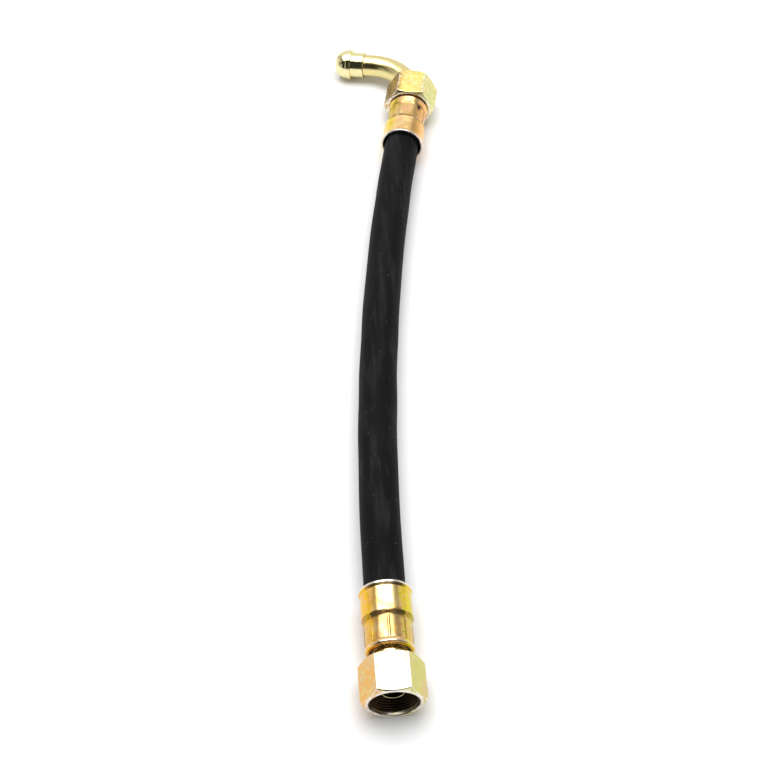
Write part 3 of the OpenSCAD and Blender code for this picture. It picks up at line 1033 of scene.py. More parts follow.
@dataclass
class Ferrule:
    """A crimped ferrule with its rolled rim, die marks, plain band and toothed bore.

    A size that ends in _z is a distance from the mouth, and one that ends in _r is a radius.
    """

    length: float = 38.0
    mouth_r: float = 13.0
    wall: float = 1.5
    flare: float = 0.7
    rim_z: float = 1.3
    waist_z: float = 3.0
    belly_z: float = 9.0
    swell: tuple[float, float, float] = (-0.06, -0.05, 0.02)
    crimp_r: float = 12.995
    crimp_in_r: float = 10.495
    ridge_h: float = 0.52
    band_h: float = 0.85
    neck_z: float = 18.5
    neck_end_z: float = 20.4
    mark_z: float = 21.3
    mark_end_z: float = 34.7
    mark_half_w: float = 4.5
    mark_rise: float = 1.4
    mark_soft: float = 0.12
    lead_slope: float = 0.44
    lead_ease: float = 0.5
    dies: int = 8
    lean: float = 4.5
    end_round: float = 1.6
    end_steps: int = 10
    groove_rs: tuple[float, float, float, float] = (11.4, 11.1, 10.4, 10.1)
    groove_d: float = 0.7
    lip_dip: float = 0.1
    lip_r: float = 7.55
    lip_z: float = 34.0
    bore_z: float = 15.2
    bell_z: float = 7.0
    tooth_h: float = 0.4
    tooth_pitch: float = 3.3
    tooth_start: float = 15.5
    tooth_ends: Span = (15.8, 32.0)
    columns: int = 288
    spacing: float = 0.4
    shell: float = 1.5
    stain: Span | None = None
    stain_rs: Span = (1.6, 2.1)
    stain_level: float = 1.4

    @property
    def barrel_r(self) -> float:
        """Outside radius behind the rim."""
        return self.mouth_r + self.wall

    def profile(self) -> np.ndarray:
        """Draws the closed outline, first along the outside and then back through the bore.

        Returns:
            The (radius, z) points, of which every third is kept in the bore.
        """
        end, inner, rim = self.length, self.crimp_in_r, self.barrel_r + self.flare
        ridge, band = self.crimp_r + self.ridge_h, self.crimp_r + self.band_h
        waist, belly, shoulder = (self.barrel_r + off for off in self.swell)
        turn = [(1.0 - cos(a), 1.0 - sin(a)) for a in np.linspace(0.0, pi / 2, self.end_steps)]
        rounded = [Corner(band - self.end_round * x, end - self.end_round * y) for x, y in turn]
        top_out, foot_out, foot_in, top_in = self.groove_rs
        foot_z, face_z, ridge_past = end - self.groove_d, end - self.lip_dip, 0.3
        points = outline([
            Corner(self.mouth_r, 0.0, 0.9), Corner(rim, 0.0, 0.9), Corner(rim, self.rim_z, 0.3),
            Corner(waist, self.waist_z, 0.4), Corner(belly, self.belly_z, 3.0),
            Corner(shoulder, self.neck_z, 1.1), Corner(ridge, self.neck_end_z, 0.8),
            Corner(ridge, self.mark_end_z + ridge_past, 0.6), *rounded,
            Corner(top_out, end, 0.2), Corner(foot_out, foot_z, 0.2),
            Corner(foot_in, foot_z, 0.2), Corner(top_in, face_z, 0.1),
            Corner(self.lip_r, face_z, 0.1), Corner(self.lip_r, self.lip_z, 0.1),
            Corner(inner, self.lip_z, 0.2), Corner(inner, self.bore_z, 1.0),
            Corner(self.mouth_r, self.bell_z, 1.0),
        ], self.spacing)
        keep_one_in, wall_skin, face_skin = 3, 0.1, 1.0
        inside = (points[:, 0] < self.mouth_r + wall_skin) & (points[:, 1] < end - face_skin)
        thinned = inside & (np.arange(len(points)) % keep_one_in != 0)
        return points[~thinned]

    def marks(
        self, points: np.ndarray, angles: np.ndarray, phase: float
    ) -> tuple[np.ndarray, np.ndarray]:
        """How the dies have pressed the outside in.

        Args:
            points: The outline.
            angles: The angle of each column.
            phase: The angle of the first die's middle.

        Returns:
            The depth of each point of the grid, and the painted shade along the border and the steep
            lead-in of each mark.
        """
        rim_w, side_w, side_ends, close_ends = 0.15, 0.25, (-0.12, 0.16), (-0.3, 1.2)
        border_ends, lead_ends, lead_depths, lead_share = (-0.3, -0.1), (0.1, 0.4), (0.0, 0.15), 0.6
        step = 2 * pi / self.dies
        local = (angles - phase + step / 2) % step - step / 2
        across = np.abs(self.crimp_r * np.sin(local))
        r, z = points[:, :1], points[:, 1:]
        flat = -self.lean * np.cos(local) + np.sqrt(
            (self.crimp_r + self.lean) ** 2 - (self.lean * np.sin(local)) ** 2
        )
        ahead = self.mark_z - z
        lead = self.lead_slope * 0.5 * (ahead + np.sqrt(ahead**2 + self.lead_ease**2))
        close = self.mark_rise * smooth(z, *(self.mark_end_z + off for off in close_ends))
        depth = r - (flat + lead + close)
        # painted shade: the marks' borders and steep lead-in are darkened to stand in for the shadows of
        # the dies' steps
        rim = np.exp(-((depth / rim_w) ** 2)) * (across < self.mark_half_w)
        side = np.exp(-(((across - self.mark_half_w) / side_w) ** 2)) * (depth > 0)
        border = np.maximum(rim, side) * smooth(depth, *border_ends)
        lead_shade = lead_share * smooth(lead, *lead_ends) * smooth(depth, *lead_depths)
        border = np.maximum(border, lead_shade)
        soft = self.mark_soft
        eased = np.where(depth < -soft, 0.0, (depth + soft) ** 2 / (4 * soft))
        depth = np.where(depth > soft, depth, eased)
        inside = smooth(self.mark_half_w - across, *side_ends)
        before_neck, before_end = 4, 1
        outer = r > self.crimp_in_r + self.shell
        outer = outer & (z > self.neck_z - before_neck) & (z < self.length - before_end)
        return np.where(outer, depth * inside, 0.0), np.where(outer, border, 0.0)

    def teeth(self, points: np.ndarray) -> np.ndarray:
        """How far the bore's teeth stand in.

        Args:
            points: The outline.

        Returns:
            The height of the teeth at each of its points.
        """
        near_bore, (first, last) = 0.3, self.tooth_ends
        r, z = points[:, 0], points[:, 1]
        in_zone = (np.abs(r - self.crimp_in_r) < near_bore) & (z > first) & (z < last)
        wave = np.maximum(0.0, np.sin((z - self.tooth_start) * 2 * pi / self.tooth_pitch))
        return np.where(in_zone, self.tooth_h * wave, 0.0)

    def worn(self, points: np.ndarray) -> np.ndarray:
        """How near each point of the outline is to the rolled rim or the rounded end, where the bare metal
        is partly wear and partly a painted highlight.

        Args:
            points: The outline.

        Returns:
            The nearness, from 0 to 1.
        """
        lip_share, lip_w, rim_ends = 0.8, 0.5, (-2.0, -1.0)
        lip_z = self.length - lip_share * self.end_round
        rims = np.exp(-np.abs(points[:, 1] - lip_z) / lip_w) + smooth(-points[:, 1], *rim_ends)
        return np.clip(rims, 0, 1)

    def dark(self, points: np.ndarray) -> np.ndarray:
        """The painted shade in the bore and in the groove of the end face.

        Args:
            points: The outline.

        Returns:
            The darkness of each of its points, from 0 to 1.
        """
        bore_ends, bore_skin, face_r, face_w = (2.0, 6.0), 0.3, 11.6, 0.3
        face_level, groove_level, groove_ends, face_skin = 0.55, 0.45, (0.15, 0.5), 1.0
        r, z = points[:, 0], points[:, 1]
        bore = smooth(z, *bore_ends) * (r < self.mouth_r + bore_skin)
        groove = face_level + groove_level * smooth(self.length - z, *groove_ends)
        face = smooth(face_r - r, 0.0, face_w) * groove
        return np.where(z > self.length - face_skin, face, bore)

    def stained(self, points: np.ndarray, angles: np.ndarray) -> np.ndarray:
        """How dark the stain on the outside is.

        Args:
            points: The outline.
            angles: The angle of each column.

        Returns:
            The darkness of each point of the grid, from 0 to 1.
        """
        if self.stain is None:
            return np.zeros((len(points), len(angles)))
        angle, middle_z = self.stain
        wide, long = self.stain_rs
        off = self.crimp_r * (angles[None, :] - angle)
        away = np.hypot(off / wide, (points[:, 1:] - middle_z) / long)
        level = np.minimum(1.0, self.stain_level * np.exp(-away**2))
        return level * (points[:, :1] > self.crimp_in_r + self.shell)

    def build(self, name: str, place: Place, phase: float) -> bpy.types.Object:
        """Builds one ferrule.

        Args:
            name: The name of the CAD node that it stands for.
            place: Where its fitting stands.
            phase: The angle of the first die's middle.

        Returns:
            The ferrule.
        """
        points = self.profile()
        points[:, 0] -= self.teeth(points)
        angles = even_angles(self.columns)
        depth, border = self.marks(points, angles, phase)
        grid = turned(points, angles)
        shrink = 1.0 - depth / points[:, :1]
        grid[..., :2] *= shrink[..., None]
        edge = np.repeat(self.worn(points)[:, None], len(angles), axis=1)
        # painted shade of the die marks, the bore and the end face, a slight darkening over the pressed
        # flats, and the real stain
        border_shade, mark_level, mark_depth = 0.5, 0.12, 0.2
        pressed = border_shade * border + mark_level * smooth(depth, 0.0, mark_depth)
        shade_and_stain = np.maximum(self.dark(points)[:, None], pressed)
        shade_and_stain = np.maximum(shade_and_stain, self.stained(points, angles))
        piece = skin(name + "_shell", grid, place, edge, shade_and_stain)
        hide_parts(name)
        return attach(piece, "root")


@dataclass
class SwivelNut:
    """A loose hexagon nut with chamfered ends, a cut thread and the seat for the collar."""

    across_flats: float = 32.0
    length: float = 24.5
    chamfer_d: float = 30.7
    chamfer: float = 30.0
    chamfer_soft: float = 0.8
    thread_r: float = 13.5
    pitch: float = 1.5
    thread_depth: float = 0.812
    thread_from: float = 3.9
    thread_rows: int = 113
    mouth_r: float = 14.25
    lead_l: float = 1.9
    shoulder_depth: float = 18.0
    pocket_r: float = 11.4
    pocket_l: float = 1.8
    undercut_l: float = 3.7
    undercut_d: float = 0.1
    bore_r: float = 9.75
    rear_w: float = 1.5
    per_flat: int = 28
    crowding: float = 0.88
    rounding: float = 190.0

    @property
    def crest_r(self) -> float:
        """Radius to the thread's crests."""
        return self.thread_r - self.thread_depth

    def angles(self) -> np.ndarray:
        """The angles of the columns, close together at the six corners."""
        u = np.arange(6 * self.per_flat) / self.per_flat
        return (u - self.crowding / (2 * pi) * np.sin(2 * pi * u)) * pi / 3

    def hexagon(self, angles: np.ndarray) -> np.ndarray:
        """Draws the hexagon with eased corners; two of its flats face up and down.

        Args:
            angles: The angle of each column.

        Returns:
            The radius at each angle.
        """
        flats = (np.cos(angles - pi / 6 - k * pi / 3) for k in range(6))
        spread = sum(np.maximum(0.0, flat) ** self.rounding for flat in flats)
        return self.across_flats / 2 / spread ** (1 / self.rounding)

    def outside(self, angles: np.ndarray) -> tuple[np.ndarray, np.ndarray]:
        """The outside, from the mouth's face to the rear face.

        Args:
            angles: The angle of each column.

        Returns:
            The radius of each point, and the height of each row.
        """
        close_l, close_rows, wide_l, wide_rows = 2.6, 22, 2.9, 12
        lip, lip_l = 0.25, 0.12
        close_in = np.linspace(0.0, close_l, close_rows)
        ends = np.concatenate([close_in, np.linspace(wide_l, self.length / 2, wide_rows)])
        z = np.concatenate([self.length - ends, ends[::-1][1:]])
        near = np.minimum(z, self.length - z)[:, None]
        cone = self.chamfer_d / 2 + near / tan(radians(self.chamfer)) - lip * np.exp(-near / lip_l)
        return soft_min(self.hexagon(angles)[None, :] + 0 * near, cone + 0 * angles, self.chamfer_soft), z

    def thread(self, angles: np.ndarray) -> tuple[np.ndarray, np.ndarray]:
        """The helical thread, from its run-out to the countersunk mouth.

        Args:
            angles: The angle of each column.

        Returns:
            The radius of each point, and the height of each row.
        """
        flank, root, crest, top = 2.4, 0.12, 0.92, 0.05
        cone_step, cone_slope, drop, fade_ends = 0.32, 0.28, 3.0, (-0.2, 0.5)
        start = self.length - self.shoulder_depth + self.thread_from
        z = np.linspace(start, self.length - top, self.thread_rows)
        phase = (z[:, None] / self.pitch - angles[None, :] / (2 * pi)) % 1.0
        ridge = np.clip(flank * np.abs(phase - 0.5) - root, 0.0, crest)
        depth = self.thread_depth * (1.0 - ridge)
        below = self.length - z[:, None]
        lead = np.maximum(self.mouth_r - below, self.mouth_r - cone_step - cone_slope * below)
        lead = np.maximum(self.crest_r, lead - drop * np.maximum(0.0, below - self.lead_l))
        grooved = self.crest_r + depth * smooth(below, *(self.lead_l + off for off in fade_ends))
        return np.maximum(grooved, lead), z

    def bore(self) -> np.ndarray:
        """The bore, the shoulder, the collar's pocket and the undercut behind the thread.

        Returns:
            The (radius, z) points from the rear face to the undercut's end.
        """
        seat_z = self.length - self.shoulder_depth
        pocket_z, end_z = seat_z + self.pocket_l, seat_z + self.undercut_l
        undercut_r, hair, spacing = self.thread_r + self.undercut_d, 1e-6, 1.2
        points = outline([
            Corner(self.bore_r + self.rear_w, 0.0, 0.0), Corner(self.bore_r, 0.0, 0.4),
            Corner(self.bore_r, seat_z, 0.15), Corner(self.pocket_r, seat_z, 0.2),
            Corner(self.pocket_r, pocket_z, 0.15), Corner(undercut_r, pocket_z, 0.2),
            Corner(undercut_r, end_z, 0.0),
        ], spacing)
        last = int(np.argmax(points[:, 1] >= end_z - hair))
        return points[: last + 1]

    def build(self, name: str, body: str, place: Place) -> bpy.types.Object:
        """Builds one nut.

        Args:
            name: The name of the CAD node that it stands for.
            body: The body that it rides on.
            place: Where its rear face is.

        Returns:
            The nut.
        """
        face_first, face_last, face_rows = 0.15, 0.9, 4
        angles = self.angles()
        out_r, out_z = self.outside(angles)
        rear = self.bore()
        in_r, in_z = self.thread(angles)
        faces = np.linspace(face_first, face_last, face_rows)
        rear_r = out_r[-1][None, :] * (1 - faces[:, None]) + (self.bore_r + self.rear_w) * faces[:, None]
        front_r = out_r[0][None, :] * (1 - faces[::-1, None]) + in_r[-1][None, :] * faces[::-1, None]
        r = np.concatenate([out_r, rear_r, rear[:, :1] * np.ones_like(angles), in_r, front_r])
        z = np.concatenate([out_z, 0 * faces, rear[:, 1], in_z, 0 * faces + self.length])
        heights = np.repeat(z[:, None], len(angles), axis=1)
        grid = np.stack([r * np.cos(angles), r * np.sin(angles), heights], axis=2)
        edge = self.edges(r, z, angles, len(out_z))
        # the thread and the countersink get painted shade
        piece = skin(name + "_body", grid, place, edge, self.dark(r, z))
        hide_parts(name)
        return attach(piece, body)

    def dark(self, r: np.ndarray, z: np.ndarray) -> np.ndarray:
        """The painted shade in the thread and the mouth's countersink, a little lighter on the thread's
        crests.

        Args:
            r: The radius of each point.
            z: The height of each row.

        Returns:
            The darkness of each point, from 0 to 1.
        """
        wall_skin, face_skin, mouth_skin = 0.15, 0.8, 0.3
        crest_shine, crest_ends, lead_level = 0.16, (0.5, 0.8), 0.55
        lead_z, heights = self.length - self.lead_l, z[:, None]
        inside = (r < self.thread_r + wall_skin) & (heights < lead_z) & (heights > face_skin)
        crest = crest_shine * smooth(self.thread_r - r, *crest_ends)
        lead = (r < self.mouth_r - mouth_skin) & (heights >= lead_z) & (heights < self.length - mouth_skin)
        return np.where(inside, 1.0 - crest, np.where(lead, lead_level, 0.0))

    def edges(self, r: np.ndarray, z: np.ndarray, angles: np.ndarray, outer: int) -> np.ndarray:
        """How near each point is to a corner, a chamfer's edge or the mouth; the bare metal on the corners
        and chamfer edges is partly wear and partly a painted highlight.

        Args:
            r: The radius of each point.
            z: The height of each row.
            angles: The angle of each column.
            outer: How many of the rows are on the outside.

        Returns:
            The nearness, from 0 to 1.
        """
        corner_w, chamfer_w, face_w, inner_share = 0.4, 0.3, 0.25, 0.25
        mouth_depths, mouth_rs, mouth_level = (2.4, 1.4), (-0.3, 0.4), 0.6
        corner = angles % (pi / 3)
        corner = np.minimum(corner, pi / 3 - corner) * self.across_flats / 2
        by_corner = np.exp(-corner / corner_w)[None, :] + 0 * r
        near = np.minimum(z, self.length - z)[:, None]
        start = (self.hexagon(angles)[None, :] - self.chamfer_d / 2) * tan(radians(self.chamfer))
        by_chamfer = np.exp(-np.abs(near - start) / chamfer_w)
        by_face = np.exp(-near / face_w) + 0 * r
        worn = np.clip(np.maximum(np.maximum(by_corner, by_chamfer), by_face), 0, 1)
        worn[outer:] = inner_share * worn[outer:]
        mouth = smooth(z[:, None], *(self.length - depth for depth in mouth_depths))
        mouth = mouth * smooth(self.across_flats / 2 - r, *mouth_rs)
        return np.maximum(worn, mouth_level * mouth)


@dataclass
class Insert:
    """What the hose is pushed on to: a barbed tail, a locking groove and a sleeve for the nut."""

    tail_bore_r: float = 4.75
    tail_r: float = 6.05
    tip_z: float = 2.0
    tip_w: float = 0.7
    lead_r: float = 6.3
    lead_z: float = 3.5
    lead_end_z: float = 14.6
    tail_z: float = 15.0
    barb_h: float = 0.45
    barbs: int = 5
    barb_start: float = 15.5
    barb_pitch: float = 3.292
    barb_top: float = 0.7
    barb_end: float = 0.75
    flange_r: float = 8.2
    flange_z: float = 32.48
    flange_l: float = 1.5
    groove_r: float = 7.5
    sleeve_r: float = 9.4
    sleeve_z: float = 38.02

    def skin_corners(self) -> list[Corner]:
        """Draws the outside, from the tail's free end to the sleeve's first edge.

        Returns:
            The corners.
        """
        corners = [
            Corner(self.tail_bore_r, self.tip_z, 0.2), Corner(self.lead_r - self.tip_w, self.tip_z, 0.2),
            Corner(self.lead_r, self.lead_z, 0.3), Corner(self.lead_r, self.lead_end_z, 0.1),
            Corner(self.tail_r, self.tail_z, 0.1),
        ]
        for i in range(self.barbs):
            foot = self.barb_start + i * self.barb_pitch
            corners += [
                Corner(self.tail_r, foot, 0.1),
                Corner(self.tail_r + self.barb_h, foot + self.barb_top * self.barb_pitch, 0.08),
                Corner(self.tail_r, foot + self.barb_end * self.barb_pitch, 0.08),
            ]
        flange_end = self.flange_z + self.flange_l
        return corners + [
            Corner(self.tail_r, self.flange_z, 0.1), Corner(self.flange_r, self.flange_z, 0.15),
            Corner(self.flange_r, flange_end, 0.15), Corner(self.groove_r, flange_end, 0.1),
            Corner(self.groove_r, self.sleeve_z, 0.1), Corner(self.sleeve_r, self.sleeve_z, 0.3),
        ]

    def socketed(self, length: float, bore_r: float, socket: float, groove: float) -> list[Corner]:
        """The outline of an insert whose sleeve takes a tube.

        Args:
            length: Length of the sleeve.
            bore_r: Radius of the socket.
            socket: Depth of the socket.
            groove: Width of the chamfer for the braze.

        Returns:
            The corners of the closed outline.
        """
        end = self.sleeve_z + length
        stop = end - socket - FIT_GAP
        return self.skin_corners() + [
            Corner(self.sleeve_r, end, 0.15), Corner(bore_r + groove, end, 0.05),
            Corner(bore_r, end - groove, 0.05), Corner(bore_r, stop, 0.1),
            Corner(self.tail_bore_r, stop, 0.2),
        ]


@dataclass
class BallHead:
    """A ball nose on a collar, from the collar's back face to the flat tip."""

    collar_r: float = 11.0
    collar_l: float = 2.8
    step: float = 0.4
    foot_w: float = 0.02
    first_angle: float = 0.02
    arc_points: int = 22
    tip_r: float = 7.0
    port_r: float = 5.5

    @property
    def ball_r(self) -> float:
        """Radius of the ball."""
        return self.collar_r - self.step

    @property
    def length(self) -> float:
        """Length from the collar's back face to the tip."""
        return self.collar_l + self.step + sqrt(self.ball_r**2 - self.tip_r**2)

    def corners(self, z: float) -> list[Corner]:
        """Draws the outside, from the collar's back face to the port's rim.

        Args:
            z: The height of the collar's back face.

        Returns:
            The corners.
        """
        base = z + self.collar_l + self.step
        angles = np.linspace(self.first_angle, acos(self.tip_r / self.ball_r), self.arc_points)
        ball = [Corner(self.ball_r * cos(a), base + self.ball_r * sin(a)) for a in angles]
        return [
            Corner(self.collar_r, z, 0.25), Corner(self.collar_r, z + self.collar_l, 0.18),
            Corner(self.ball_r + self.foot_w, base, 0.12), *ball,
            Corner(self.port_r, z + self.length, 0.35),
        ]


@dataclass
class Elbow:
    """The bent tube with the ball nose brazed to its end, which leans down by the droop."""

    layout: Layout
    insert: Insert
    head: BallHead
    tube_r: float = 8.0
    bore_r: float = 6.0
    bend_r: float = 36.0
    bend: float = 86.0
    bend_rings: int = 60
    leg_rings: int = 12
    leg_in: float = 13.0
    leg_out: float = 6.0
    nose_sleeve: float = 9.5
    insert_sleeve: float = 9.0
    socket: float = 7.0
    groove: float = 0.8
    floor: float = 16.0
    columns: int = 128
    marks_r: float = 8.0
    marks_l: float = 64.0
    fillet_w: float = 0.35
    fillet_h: float = 0.3
    rub_w: float = 0.3
    rub_level: float = 0.5

    @property
    def bend_z(self) -> float:
        """Where the bend starts on the fitting's axis."""
        return self.layout.ferrule_l + self.leg_in

    @property
    def socket_r(self) -> float:
        """Radius of the sockets that take the tube."""
        return self.tube_r + FIT_GAP

    @property
    def droop(self) -> float:
        """How far the elbow leans down so that its collar touches the floor.

        Returns:
            The angle, in radians.
        """
        corner = self.bend_r * tan(radians(self.bend / 2))
        end = self.leg_out + self.nose_sleeve + self.head.collar_l
        reach = (corner + end) * sin(radians(self.bend))
        edge_r = self.head.collar_r
        return np.arcsin(self.floor / hypot(reach, edge_r)) - np.arctan2(edge_r, reach)

    @property
    def leant(self) -> Place:
        """The fitting's place with the droop."""
        return self.layout.elbow.then(Matrix.Rotation(-self.droop, 4, "Z"))

    @property
    def bend_end(self) -> Place:
        """The place at the far end of the bend.

        Returns:
            The place, whose +Z runs along the tube.
        """
        middle = Matrix.Translation((-self.bend_r, 0, self.bend_z))
        out = middle @ Matrix.Rotation(radians(-self.bend), 4, "Y")
        return self.leant.then(out @ Matrix.Translation((self.bend_r, 0, 0)))

    def tube_line(self) -> tuple[np.ndarray, np.ndarray]:
        """Follows the tube's middle line.

        Returns:
            The (x, z) point of each ring, and its turn.
        """
        start = self.insert.sleeve_z + self.insert_sleeve - self.socket
        first = np.linspace(start, self.bend_z, self.leg_rings)[:-1]
        angles = np.radians(np.linspace(0.0, self.bend, self.bend_rings))
        last = np.linspace(0.0, self.leg_out + self.socket, self.leg_rings)[1:]
        legs_in = np.stack([0 * first, first], axis=1)
        curve_x = self.bend_r * (np.cos(angles) - 1)
        curve = np.stack([curve_x, self.bend_z + self.bend_r * np.sin(angles)], axis=1)
        ahead = np.array([-sin(angles[-1]), cos(angles[-1])])
        legs_out = curve[-1] + last[:, None] * ahead
        turns = np.concatenate([0 * first, angles, 0 * last + angles[-1]])
        return np.concatenate([legs_in, curve, legs_out]), turns

    def build_tube(self) -> bpy.types.Object:
        """Builds the bent tube.

        Returns:
            The tube.
        """
        line, turns = self.tube_line()
        angles = even_angles(self.columns)
        shells = []
        for radius in (self.tube_r, self.bore_r):
            sideways = radius * np.cos(angles)[None, :]
            x = line[:, :1] + sideways * np.cos(turns)[:, None]
            y = np.repeat(radius * np.sin(angles)[None, :], len(line), 0)
            z = line[:, 1:] + sideways * np.sin(turns)[:, None]
            shells.append(np.stack([x, y, z], axis=2))
        grid = np.concatenate([shells[0], shells[1][::-1]])
        rings = len(grid)
        straight = np.stack([np.full(rings, self.marks_r), np.linspace(0, self.marks_l, rings)], axis=1)
        tube = skin("elbow_tube_swept", grid, self.leant, local=turned(straight, angles))
        for polygon in self.end_faces(tube, len(line)):
            polygon.use_smooth = False
        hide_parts("elbow_tube")
        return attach(tube, "root")

    def end_faces(self, tube: bpy.types.Object, rings: int) -> list[bpy.types.MeshPolygon]:
        """Finds the flat faces at the tube's two ends.

        Args:
            tube: The tube.
            rings: How many rings its outside has.

        Returns:
            The faces.
        """
        rows = (rings - 1, 2 * rings - 1)
        return [p for p in tube.data.polygons if p.index // self.columns in rows]

    def build_nose(self) -> bpy.types.Object:
        """Builds the nose with its sleeve over the tube.

        Returns:
            The nose.
        """
        back, front = self.leg_out, self.leg_out + self.nose_sleeve
        socket_r, stop, spacing = self.socket_r, back + self.socket + FIT_GAP, 1.0
        corners = [
            Corner(socket_r + self.groove, back, 0.05), Corner(self.insert.sleeve_r, back, 0.25),
            Corner(self.insert.sleeve_r, front, 0.15), *self.head.corners(front),
            Corner(self.head.port_r, stop, 0.1), Corner(socket_r, stop, 0.1),
            Corner(socket_r, back + self.groove, 0.05),
        ]
        grid = turned(outline(corners, spacing), even_angles(self.columns))
        rows = np.repeat(np.abs(grid[:, :1, 2] - front - self.head.collar_l), self.columns, axis=1)
        rubbed = self.rub_level * np.exp(-rows / self.rub_w)
        nose = skin("ball_nose_turned", grid, self.bend_end, rubbed)
        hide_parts("ball_nose")
        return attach(nose, "root")

    def build_braze(self, name: str, place: Place) -> bpy.types.Object:
        """Builds the ring of braze in a sleeve's mouth.

        Args:
            name: The name of the CAD node that it stands for.
            place: The sleeve's mouth, with +Z out of it.

        Returns:
            The ring.
        """
        play, rise, spacing = 0.04, 0.05, 0.4
        r, w = self.socket_r, self.groove - play
        corners = [
            Corner(r, -w, 0.05), Corner(r + w, 0.0, 0.05), Corner(r + self.fillet_w, rise, 0.12),
            Corner(r, self.fillet_h, 0.08),
        ]
        grid = turned(outline(corners, spacing), even_angles(self.columns))
        ring = skin(name + "_ring", grid, place)
        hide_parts(name)
        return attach(ring, "root")


